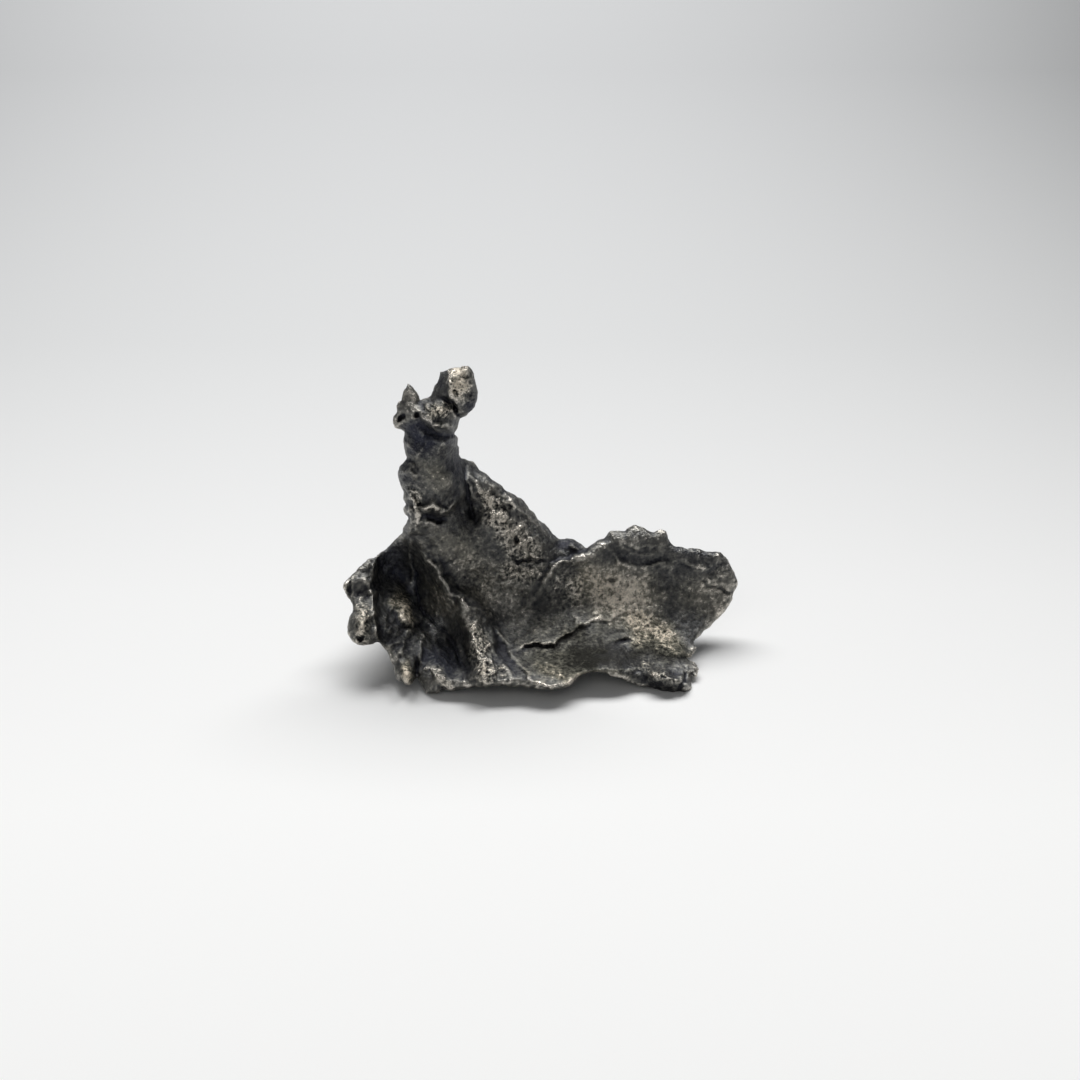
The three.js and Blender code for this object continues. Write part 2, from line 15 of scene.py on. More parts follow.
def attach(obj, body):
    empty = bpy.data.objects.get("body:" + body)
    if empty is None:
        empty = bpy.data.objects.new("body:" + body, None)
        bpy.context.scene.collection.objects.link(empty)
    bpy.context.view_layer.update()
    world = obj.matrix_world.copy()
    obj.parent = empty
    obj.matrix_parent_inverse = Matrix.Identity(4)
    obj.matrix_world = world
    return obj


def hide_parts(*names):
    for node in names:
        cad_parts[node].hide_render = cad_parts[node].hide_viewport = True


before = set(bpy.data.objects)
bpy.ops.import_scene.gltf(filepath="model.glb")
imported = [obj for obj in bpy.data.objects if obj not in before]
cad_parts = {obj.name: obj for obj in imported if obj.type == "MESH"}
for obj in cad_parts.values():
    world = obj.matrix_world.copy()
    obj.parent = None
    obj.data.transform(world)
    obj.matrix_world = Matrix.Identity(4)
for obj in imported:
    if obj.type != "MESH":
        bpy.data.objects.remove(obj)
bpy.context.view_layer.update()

METRES = 0.001

LEAN = math.radians(30)      # how far the drawing plane leans back from upright
CENTRE_X = 0.17              # middle of the piece's width in the drawing
CENTRE_Y = -2.79             # middle of the piece's depth once it stands upright
CELL = 0.27                  # grid step of the skin
SOFTNESS = 2.2               # how softly the maps bend between their points
STEEPEST = 4.0               # steepest slope that thickness is corrected for
BLEND = 2.6                  # fillet between the sheet and the foot behind it
SHARPEST = 0.12              # rounding of the sharpest folds
THINNEST = 1.1               # the thickness map goes nowhere below this
LEAST_WALL = 0.25            # the folds leave each half of the sheet at least this thick
RAGGED = 0.45                # how far the drawn lines wander
RAGGED_SIZE = 1.9            # length of that wandering
PATCH_RAGGED = 1.2           # how far the rims of the tone patches wander
PATCH_RAGGED_SIZE = 3.0      # length of that wandering
MOST_PITTED = 1.3            # where patches overlap, the pits get no deeper than this
LOW = (-31.2, -9.4, -12.4)   # corner of the drawing's box
HIGH = (31.4, 44.2, 26.6)    # opposite corner


def fold(reach, *line, rounded=False):
    """A fold along a line of (right, up, height); it fades out over its (left, right) reach."""
    return {"line": line, "reach": reach, "rounded": rounded}


def oval(middle, size, turn=0, **strengths):
    """An oval patch of the drawing plane: middle, half sizes, turn in degrees and strengths."""
    return {"middle": middle, "size": size, "turn": turn, **strengths}


# The silhouette, anticlockwise from the notch between neck and slope: (right, up).
OUTLINE = [
    # neck, head and ear
    (-11.9, 28.4), (-12.2, 30), (-12.5, 31.5), (-13, 32.1), (-12.6, 33), (-12.5, 33.5),
    (-12, 34.3), (-11, 34.7), (-10.4, 35.2), (-9.8, 36.1), (-9.5, 37), (-9.35, 38.3), (-9.6, 39.7),
    (-9.9, 41), (-10.2, 41.9), (-10.6, 42.4), (-11.3, 42.4), (-12.2, 42), (-13.4, 42),
    (-14.1, 41.6), (-15, 41.5), (-15.2, 40.8), (-15.5, 39.8), (-16.1, 38.3), (-16.8, 37.5),
    (-18, 36.9), (-18.2, 37.4), (-18.6, 38.2), (-19.2, 39.1), (-19.8, 39.8), (-20.3, 38.9),
    (-20.7, 37.7), (-20.75, 36.9), (-21.1, 37), (-21.5, 36.3), (-21.55, 35.3), (-22.1, 34.6),
    (-22.2, 33.6), (-21.8, 33), (-20.9, 32.8), (-20.2, 32.4), (-20.4, 31.2), (-20.5, 30.1),
    (-20.3, 29), (-20.1, 28.3),
    # torn left side of the neck
    (-20.6, 27.8), (-21.1, 27.1), (-21.5, 26.3), (-21.5, 25.3), (-21.1, 24.4), (-20.7, 23.6),
    (-20.6, 22.8), (-20.7, 22.2), (-20.4, 21.4), (-20.7, 20.8), (-20.6, 20), (-20, 19.5),
    (-20.2, 18.9), (-20.6, 18), (-20.7, 17.1),
    # left wing
    (-21.4, 16.5), (-22.3, 15.8), (-24.2, 14.2), (-25.2, 13.5), (-26.2, 13.1), (-27.2, 12.1),
    (-28.2, 11.1), (-29.2, 10.2), (-29.75, 9.5), (-29.9, 8.8), (-29.5, 7.8), (-29, 7), (-28.6, 6),
    (-28.5, 5.2), (-28.8, 4.2), (-29.1, 2.8), (-29, 1.6), (-28.4, 0.6), (-27.6, 0.2),
    (-26.4, 0.05), (-25.4, 0.05), (-24.5, 0.5), (-23.6, -0.1), (-23, -0.8), (-22.5, -1.9),
    (-22, -2.9), (-22.2, -3.6), (-21.7, -4.6), (-20.9, -5.2), (-20.2, -5.9), (-19.5, -5.8),
    (-18.9, -5.1), (-18.4, -4.7), (-18.1, -5.3), (-17.7, -6.2),
    # front edge
    (-17.3, -7.1), (-16.3, -7.2), (-15.4, -6.9), (-14.6, -6.3), (-13.5, -6.6), (-12, -6.4),
    (-10, -6.1), (-7, -6.1), (-4.5, -5.9), (-2, -6), (0.5, -6.5), (2.2, -6.5), (3.6, -6.2),
    (4.6, -5.7), (5.2, -5.1), (5.9, -4.4), (6.8, -4), (8.5, -3.95), (10.2, -4.1), (11.6, -4.6),
    (13.4, -5.3), (15, -5.9), (16.6, -6.2), (18, -6.7), (19.2, -7.1), (20.2, -7.25), (21, -7.1),
    (21.8, -7.3), (22.6, -6.9), (23, -6.2), (22.9, -5.5), (22.5, -5.1), (22.6, -4.6), (23.1, -4.3),
    (23.5, -4.9), (23.9, -4.2), (23.8, -3.5), (23.2, -2.6), (22.6, -2.1), (22.1, -1.9),
    (22.9, -1.6), (23.6, -0.9), (23.95, -0.3), (23.4, 0.5), (23.9, 1.1),
    # right lobe and its knobbly top rim
    (25, 2.1), (26, 3.1), (27, 4.1), (28.2, 5.1), (28.9, 6.1), (29.3, 7.2), (29.6, 8.2),
    (29.95, 9), (29.9, 10), (29.5, 11.2), (28.8, 12.2), (28.3, 13.1), (27.8, 13.9), (26.7, 14.4),
    (25.1, 14.35), (24.1, 14.8), (22.6, 14.8), (21.7, 15.2), (20.4, 15), (19.9, 15.5),
    (19.3, 16.6), (19, 17.4), (18.2, 17.7), (17.3, 17.4), (16.6, 17.4), (15.8, 18), (14.5, 18.2),
    (13.6, 17.8), (13, 17.2), (11.7, 17.4), (10.8, 17.5), (10.2, 17), (9.6, 16.2), (8.7, 16),
    (8, 15.3),
    # pitted slope
    (7.1, 14.7), (6.3, 15.6), (5.2, 16.1), (4, 16.2), (2.9, 15.9), (2, 16.9), (1, 18),
    (-0.2, 19.2), (-0.6, 20.1), (-2, 21.4), (-3, 22.4), (-3.9, 23.1), (-5, 23.6), (-6.1, 24.4),
    (-7, 25.2), (-8, 25.9), (-9.2, 26.8), (-10.1, 28), (-11, 28.35),
]

# How far the front face stands out of the drawing plane: (right, up, out).
FRONT = [
    # head, ear and collar
    (-12.5, 39, 23), (-10.6, 41.4, 23.6), (-14.8, 40.4, 21.4), (-11, 36.2, 21.4),
    (-19.5, 37.6, 20.3), (-21.5, 34, 19.3), (-15.5, 35.6, 21.8), (-18.6, 35, 20.6),
    # neck
    (-16.5, 31.5, 20), (-16, 27, 17.6), (-16, 23, 15.4), (-19.4, 25.8, 15.6), (-19.6, 21.5, 13),
    (-13, 24.5, 15), (-13.2, 30.5, 18.6), (-19.3, 18, 11),
    # scoop
    (-15, 18.6, 11.6), (-14, 16, 10), (-13, 13, 8), (-10, 15, 8.6), (-9, 11, 6.2), (-11, 9.2, 6.4),
    (-7, 7, 4.8), (-4, 9, 4.6), (-1, 6, 4), (-5, 3, 5.8), (-2, 2, 6.8), (-5, -1, 10.4),
    (-4, -4, 14.6), (0, -3, 13.3), (2, -5.6, 16.3),
    # pitted slope
    (-11, 27.8, 9.8), (-9, 24.5, 9.8), (-6, 22.5, 8.8), (-7, 19.5, 9.2), (-3, 20, 7),
    (-3.5, 17, 7.6), (0, 17.3, 5.2), (-1, 14.5, 6), (2, 15, 4.2), (4.8, 15.4, 2.8), (1, 12.5, 4.6),
    (-5, 13.5, 6.8), (-2, 11, 5.2), (-10.8, 21, 8.6),
    # right lobe
    (3, 11, 4.2), (5, 13, 3.9), (8, 14.2, 4.4), (6, 8, 3.6), (10, 11, 4), (14, 15.5, 5),
    (14, 17.6, 5), (18.5, 16.5, 4.4), (14, 12, 4.2), (18, 11, 3.2), (14, 7, 4.2), (20, 7, 2.9),
    (24, 12, 2.6), (28, 11, 2), (29, 7.5, 1.4), (25, 7, 1.6), (26, 4, 2.2), (22, 4, 3.2),
    (23, 1, 4.8), (18, 2.5, 4.9), (12, 3, 5.6), (8, 1.5, 7.4), (13, -1, 9.4), (20, -1, 7.4),
    (5, -1.5, 10.8), (8, -3.3, 13.4), (12, -3.3, 12.8),
    # rolled foot at the right of the front edge
    (15.5, -4.6, 11.8), (19, -5.2, 12.6), (20, -7, 12.9), (22.2, -6.2, 12.2), (23.3, -3.6, 9.4),
    # folded left wing
    (-19, 8, 1.8), (-17, 4.5, 3.6), (-14, 1.5, 6.4), (-12, -3, 11.4), (-21, 13, 3),
    (-23.5, 11, 2.5), (-22, 15.5, 5.6), (-25, 13.3, 6), (-27.5, 10.5, 7.6), (-28.8, 8, 8.6),
    (-27, 5, 10.5), (-27.5, 2, 12.3), (-26, 0.8, 12.5), (-23.5, 6, 6), (-22, 3, 8),
    (-23, 0.5, 10.3), (-21, -1.5, 11), (-21.8, -3.4, 12.4), (-20, -4.5, 13.8), (-18.3, -3.5, 11.8),
    (-18, 0, 9.6), (-15.5, -2, 11.2), (-16, -5, 14.2), (-16.5, -6.8, 14.2), (-13, -6, 15),
    (-10.5, -5.6, 15.8),
    # under the fold between wing and scoop
    (-17.5, 14, 7.2), (-15.5, 11, 6.8), (-13.5, 8.2, 7), (-11.5, 6.5, 7.6), (-16, 7, 4.6),
    (-13, 4.5, 7.2), (-11, 1.5, 9.2), (-9, 0, 10.4), (-8, -3.5, 14.6), (-7, -5.6, 16.4),
]

# How thick the sheet is, measured along "out": (right, up, thickness).
THICKNESS = [
    (-12.5, 39, 5), (-11, 36, 4.4), (-16, 35.5, 6.6), (-19.5, 37.8, 1.8), (-21.5, 34, 2.4),
    (-16.5, 30, 6.6), (-16, 24, 7.2), (-15, 18, 6), (-13, 13, 4.6), (-9, 24, 4.6), (-5, 19, 5.2),
    (0, 15, 5), (5, 15.2, 3.6), (-6, 8, 4.4), (-4, 0, 3.2), (2, -5.5, 2.2), (8, -3.5, 1.6),
    (12, -3.3, 2), (19, -5.2, 3.6), (22.3, -6.3, 2.2), (23.3, -3.5, 1.4), (24, -0.3, 1.8),
    (8, 10, 4.2), (14, 16, 3.2), (20, 10, 3.6), (28, 10, 2.8), (27, 5, 2.8), (14, 4, 3.6),
    (20, 1, 3.2), (10, 1, 3.4), (-9, 0, 4.6), (-7, -5, 3.4), (-19, 8, 3.2), (-14, 0, 3.2),
    (-16, -5.5, 3.4), (-20, -4, 3), (-23, 0, 2.4), (-27, 3, 4), (-28, 9, 3.2), (-23, 12, 2.8),
    (-22, 15.5, 2.6), (-25.5, 13, 2.8),
]

# Folds of the front face: the reach on the left and on the right of the line, then its points.
# A short reach makes a step. A crest is sharp unless the fold is rounded.
FOLDS = [
    # crest between scoop and wing
    fold((1.6, 3.4), (-19, 17, 0.4), (-17.8, 14.5, 1.2), (-16.1, 12.2, 1.8), (-15, 10.2, 2.2),
         (-13.5, 8.2, 2.6), (-12, 6.9, 2.6), (-10.8, 6.1, 2.2), (-9.2, 5.6, 1.4)),
    # bulging ridge below the crest
    fold((4, 1.7), (-11.6, 6, 1.2), (-10.4, 3, 2.8), (-9.8, 0, 3.1), (-9.3, -2.5, 2.2),
         (-8.9, -4.8, 1), rounded=True),
    # sharp shoulder of that ridge, above its smooth side
    fold((0.5, 1.4), (-9, 5, 0.3), (-7.6, 2.5, 0.7), (-7.1, 0.3, 0.8), (-6.2, -1.4, 0.7),
         (-5.2, -3.2, 0.6), (-4.5, -4.7, 0.3)),
    # fold line where the ridge's smooth side meets the scoop
    fold((0.9, 0.45), (-9.2, 5.8, 0.4), (-7.4, 3.6, 0.5), (-5.8, 1.3, 0.5), (-4.2, -1.2, 0.5),
         (-2.4, -3.6, 0.5), (-1.6, -4.8, 0.3)),
    # lip of the apron at the foot of the neck
    fold((3.4, 0.45), (-19.5, 22.4, 0.6), (-18.3, 20.9, 1.4), (-17.2, 20.5, 1.7),
         (-16.2, 20.9, 1.8), (-15, 20.2, 1.9), (-14.1, 20.3, 1.8), (-13.2, 20.8, 1.4),
         (-12.3, 21.8, 0.5)),
    # thickened edge of that lip
    fold((0.6, 0.5), (-18.6, 21.2, 0.3), (-17.2, 20.8, 0.6), (-16.2, 21.2, 0.4),
         (-15.2, 20.6, 0.6), (-14.1, 20.6, 0.4), (-13.2, 21.1, 0.6), (-12.6, 22, 0.4),
         (-12.5, 23.4, 0.1)),
    # recess under it
    fold((0.9, 1), (-18, 19.6, -0.3), (-16.6, 19.6, -1.5), (-15, 19.2, -1.3), (-13.8, 19.6, -0.2),
         rounded=True),
    # groove between neck and slope
    fold((1, 0.9), (-11.7, 28.2, -0.8), (-11.2, 24.5, -1), (-10.6, 21.2, -1.2),
         (-9.6, 18.8, -0.4)),
    # thin folded layers beside that groove
    fold((0.7, 0.4), (-10.8, 27.4, 0.2), (-10.3, 25.8, 0.5), (-9.5, 24.4, 0.5), (-8.9, 22.8, 0.1)),
    fold((0.4, 0.5), (-11, 27, 0.2), (-10.9, 25, 0.6), (-10.2, 23.2, 0.6), (-10.1, 21.4, 0.2)),
    fold((0.6, 0.5), (-12.1, 26.4, 0.2), (-12.2, 24, 0.6), (-11.8, 21.8, 0.6), (-11.4, 19.6, 0.2)),
    # rim of the pitted slope
    fold((1.6, 0.5), (-10.2, 26.8, 0.2), (-7.4, 24.4, 0.5), (-4, 21.8, 0.5), (-1.4, 19.2, 0.5),
         (1, 16.8, 0.3)),
    # rim of the lobe where it laps over the slope
    fold((0.45, 2.2), (-0.4, 8.3, 0.2), (0.6, 9.5, 0.7), (1.4, 10.6, 1.1), (2.1, 12.2, 1.4),
         (3.2, 12.8, 1.5), (4.6, 13.2, 1.4), (6.2, 13.6, 1.4), (7.2, 14.1, 1.3), (8.4, 15.2, 0.8)),
    # crack across the slope
    fold((0.35, 0.5), (-4.9, 14, -0.2), (-3.6, 12.9, -0.8), (-2, 13.3, -0.9), (-0.6, 12.7, -0.8),
         (0.8, 13, -0.3)),
    # overhung crack across the floor of the scoop
    fold((3, 0.3), (-3, -0.7, 0.2), (-2.4, 0.3, 0.6), (-1, 0.6, 0.8), (0.6, 0.5, 0.8),
         (2.4, 0.3, 0.7), (3.2, 1.2, 0.6), (4.2, 1.9, 0.5), (5.2, 2.4, 0.4), (6, 3.2, 0.5),
         (8, 3.8, 0.4), (10.3, 3.9, 0.3), (12, 4.7, 0.1)),
    # slit below that crack
    fold((0.35, 0.6), (-2.9, -0.9, -0.2), (-1.2, 0.2, -0.4), (0.6, 0.1, -0.5), (2.5, -0.1, -0.4),
         (3.6, 1.1, -0.3), (5.4, 2.1, -0.2)),
    # raised threads along the thin front edge
    fold((0.8, 0.5), (-10, -4.9, 0.3), (-8.5, -5.5, 0.5), (-6.5, -5.8, 0.5), (-5, -5.6, 0.5),
         (-4, -5, 0.5), (-3.1, -4.8, 0.3)),
    fold((0.7, 0.5), (-1.4, -5, 0.3), (0, -5.6, 0.5), (1.6, -5.9, 0.5), (3.5, -5.6, 0.5),
         (4.8, -5, 0.5), (5.6, -4.3, 0.5), (6.8, -3.7, 0.4), (10.4, -3.7, 0.4), (12.4, -3.5, 0.4),
         (14, -3.3, 0.2)),
    # scalloped edge of the dish under the top rim
    fold((0.4, 1.4), (11.2, 14.4, 0.1), (12, 13, 0.3), (13.4, 12.2, 0.3), (15, 11.9, 0.3),
         (16.6, 12.2, 0.4), (18.4, 12.6, 0.4), (19.9, 12.4, 0.2)),
    # thin arcs of the dish
    fold((0.5, 0.3), (12.4, 15.2, 0.1), (13.8, 14.2, 0.2), (15.6, 13.8, 0.2), (17.6, 14, 0.1)),
    fold((0.5, 0.3), (12.2, 16, 0.1), (14.2, 15.2, 0.2), (16.4, 15, 0.2), (18.4, 15.2, 0.1)),
    # crease to the right tip
    fold((0.7, 0.3), (24.4, 10, -0.1), (26.2, 9, -0.3), (28, 8.4, -0.5), (29.7, 7.8, -0.3)),
    fold((0.9, 0.4), (21.4, 13.4, 0.1), (22.6, 12.2, 0.3), (24.6, 11.8, 0.3), (26.4, 12.2, 0.1)),
    # the rolled foot and the groove before its knob
    fold((1, 2.4), (14.2, -3.3, 0.4), (16.6, -3.6, 1.6), (19, -4.3, 2), (21, -5, 1.6),
         rounded=True),
    fold((0.4, 0.4), (21.9, -4, -0.5), (21.6, -5.2, -0.9), (21.2, -6.7, -0.5)),
    # step between the wing's outer lobe and its pocket
    fold((0.6, 2.6), (-25, 13, 0.8), (-25.3, 10.8, 2.2), (-25.9, 9.4, 2.3), (-25.2, 8, 2.4),
         (-24.8, 5, 2), (-24.5, 2.5, 1.4), (-24.3, 0.8, 0.8)),
    # thin flake at the wing's tip
    fold((0.3, 0.35), (-29, 10.2, -0.4), (-29.05, 8.8, -0.8), (-28.8, 7.4, -0.3)),
    # tongue inside the wing
    fold((2.3, 2.6), (-22.8, 9.6, 0.3), (-21.6, 7.4, 1.3), (-20.5, 5.2, 2), (-20, 4.2, 1.9),
         rounded=True),
    fold((0.5, 0.8), (-22.4, 4.8, 0), (-20.9, 2.9, -0.5), (-19.4, 2.6, -0.8), (-18.6, 3.4, -0.4)),
    # sharp foot of the valley
    fold((0.8, 0.5), (-19.4, 13.6, -0.2), (-18.9, 10.4, -0.7), (-18.6, 7.6, -1),
         (-17.4, 4.8, -1.1), (-15.2, 2.6, -1), (-13.2, 0.4, -0.8), (-11.6, -3.4, -0.5)),
    # fine wrinkles running down from the valley
    fold((0.6, 0.35), (-18.6, 4.2, 0.2), (-19.8, 2.2, 0.4), (-21.6, 0.6, 0.3), (-23.4, -0.6, 0.1)),
    fold((0.5, 0.4), (-18.9, 3, 0.2), (-20.6, 0.4, 0.4), (-21.6, -1.6, 0.2)),
    fold((0.4, 0.5), (-24, 6.4, 0.1), (-23.4, 4, 0.2), (-22.4, 1.8, 0.2), (-21.6, 0.8, 0.1)),
    fold((0.6, 0.4), (-17.9, 2.5, 0.2), (-18.1, -1, 0.5), (-18.3, -3.6, 0.3)),
    fold((0.7, 0.4), (-20.5, 1.4, 0.2), (-20.8, -1.2, 0.4)),
    fold((0.8, 0.5), (-16.4, 3.2, 0.2), (-15.6, 0.5, 0.4), (-14.2, -2.4, 0.3)),
    fold((0.5, 0.5), (-19.6, 16, 0.2), (-19.7, 13.6, 0.6), (-19.5, 11, 0.3)),
    # notch between the two lumps of the front edge
    fold((0.7, 0.7), (-18.5, -2.6, -0.8), (-18.4, -5, -2.4)),
    # ridge over the second lump
    fold((0.8, 1.6), (-17, -3.2, 0.4), (-15.4, -4.3, 1), (-14, -5.2, 0.8), (-12.2, -5.2, 0.3)),
    # break under the collar of the head
    fold((2.4, 0.35), (-18.6, 35.4, 0.3), (-17.7, 34.6, 0.9), (-16.4, 33.8, 1.3),
         (-14.8, 33.1, 1.4), (-13.4, 33, 1.1), (-12.6, 33.6, 0.5)),
    fold((0.8, 1.6), (-18.3, 33.9, -0.4), (-16.6, 32.6, -1.2), (-15.2, 32.1, -1.2),
         (-13.6, 32.2, -0.5), rounded=True),
    # cleft between collar and head
    fold((0.35, 0.4), (-15.2, 37.6, -0.2), (-14.2, 37.2, -0.8), (-13.3, 36.7, -1.4),
         (-12.7, 35.9, -2), (-11.9, 34.8, -2)),
    # edge of the head between its bright and its dark side
    fold((0.5, 3), (-13.6, 37.4, 0.4), (-13.4, 39.2, 1), (-13.7, 41.3, 0.8)),
    # marks on the neck
    fold((0.5, 0.5), (-19.9, 30.2, 0.2), (-19, 29.6, 0.8), (-18.2, 29.3, 0.3)),
    fold((0.5, 0.4), (-18.2, 28.9, 0.2), (-17.5, 30.2, 0.7), (-17.2, 31, 0.2)),
    # wrinkles round the knob on the neck
    fold((0.35, 0.4), (-21.3, 26.6, 0.2), (-20.4, 27.6, 0.6), (-19.2, 27.4, 0.5),
         (-18.5, 26.5, 0.2)),
    fold((0.3, 0.3), (-21.3, 25.2, 0.1), (-20.8, 26.2, 0.4), (-19.8, 26.5, 0.4), (-19, 25.8, 0.2)),
    fold((0.4, 0.3), (-21.2, 24.9, 0.2), (-19.9, 24.6, 0.5), (-18.7, 24.4, 0.4),
         (-17.8, 23.8, 0.1)),
    fold((0.4, 0.35), (-21, 24.2, 0.2), (-19.8, 23.7, 0.6), (-18.8, 23.3, 0.5),
         (-17.9, 22.6, 0.2)),
    # torn strand down the left of the neck
    fold((0.5, 0.7), (-20.4, 23.4, 0.3), (-19.3, 22.6, 0.8), (-18.9, 21.4, 1), (-18.3, 20.6, 0.9),
         (-18.5, 19.2, 0.5), (-18.8, 17.6, 0.2)),
    fold((0.4, 0.4), (-20.2, 21.8, 0.2), (-19.7, 20.4, 0.6), (-19.5, 18.8, 0.5),
         (-19.6, 17.2, 0.2)),
    # hooked ridge on the pitted slope
    fold((0.4, 0.4), (-5.4, 21.7, 0.2), (-4.5, 21.9, 0.7), (-3.8, 21.3, 0.7), (-4, 20.5, 0.3)),
]

# Lumps of the front face, and hollows, which have a height below 0.
LUMPS = [
    oval((-20, 26.2), (1.9, 2.1), 20, height=1.8),    # knob on the neck
    oval((-15.4, 35.6), (2.9, 1.5), -16, height=0.9),   # collar
    oval((-20, -4), (1.8, 2.6), 10, height=1.5),    # foot of the wing
    oval((-26.8, 3.6), (2, 3.8), height=1),         # wing's outer lobe
    oval((14.8, 14.2), (3.8, 2), 4, height=-0.3),     # dish under the rim
    oval((22.2, -6.2), (1.1, 1.2), height=0.7),         # knob of the foot
    oval((-18.7, 34.8), (0.5, 0.4), height=-1.2),       # hole beside collar
    oval((-20.9, 34.5), (1, 0.6), 50, height=-1.5),   # hole under the ear
    oval((-12.6, 41.3), (0.5, 0.4), height=-0.9),       # hole in the head
    oval((-12.8, 38.7), (0.7, 1.4), 10, height=-0.6),   # dents in the head
    oval((-11.1, 40.4), (0.8, 0.6), 30, height=-0.5),
    oval((-10.5, 38), (0.6, 1), -10, height=-0.5),
    oval((-9.9, -0.9), (0.5, 1.3), 20, height=-0.7),    # dents in the ridge
    oval((-8.6, 1.6), (0.5, 0.9), height=-0.6),
    oval((-8, -2.6), (0.6, 1.2), 30, height=-0.6),
    oval((-16.6, 36.1), (0.6, 0.4), height=-0.5),       # pits in the collar
    oval((-14.4, 35.4), (0.6, 0.4), height=-0.5),
    oval((-27.3, 1.2), (0.9, 0.4), height=-1.2),        # hole in the wing
    oval((-4.4, 20.9), (0.6, 0.4), 40, height=-0.8),    # hole in the slope
    oval((-3.6, 15.9), (0.9, 0.5), 60, height=-0.9),    # deep pit in it
    oval((5.2, 15.2), (1.6, 0.9), -20, height=0.9),     # lump at the notch
    oval((12.6, 0.7), (1.9, 0.5), 8, height=-0.7),      # pits in the lobe
    oval((10.7, 10.2), (0.9, 0.4), 10, height=-0.4),
    oval((20.5, -0.8), (2.2, 1.2), -15, height=0.7),    # smooth swelling
    oval((-20.3, 3.3), (1.2, 0.8), -30, height=-0.6),
]

# The back face has its own folds; a positive height stands further back.
BACK_FOLDS = [
    # spine down the back of the neck
    fold((3, 3), (-16.5, 34, 0.4), (-15.8, 27, 1.2), (-14.5, 20, 1.6), (-12, 13, 1.2),
         rounded=True),
    # rib across the back of the lobe
    fold((3.4, 2.2), (4, 7, 0.6), (11, 9.5, 1.4), (18, 8.5, 1.3), (25, 9.5, 0.5)),
    # hollow between the rib and the front edge
    fold((2.6, 2.6), (2, 2, -0.7), (10, 4, -1), (19, 3.5, -0.7), rounded=True),
    # rib down the back of the wing
    fold((2.4, 3), (-20.5, 16, 0.4), (-23, 9, 1.4), (-23.5, 2, 0.9)),
]

# Torn web behind the scoop that ends in the hidden third foot: corners (x, y, z) upright.
WEB = [(-14.5, 2.5, 16), (0.5, 3.5, 9.5), (-8.5, 9.6, 1.3)]
WEB_HALF_THICKNESS = 1.9

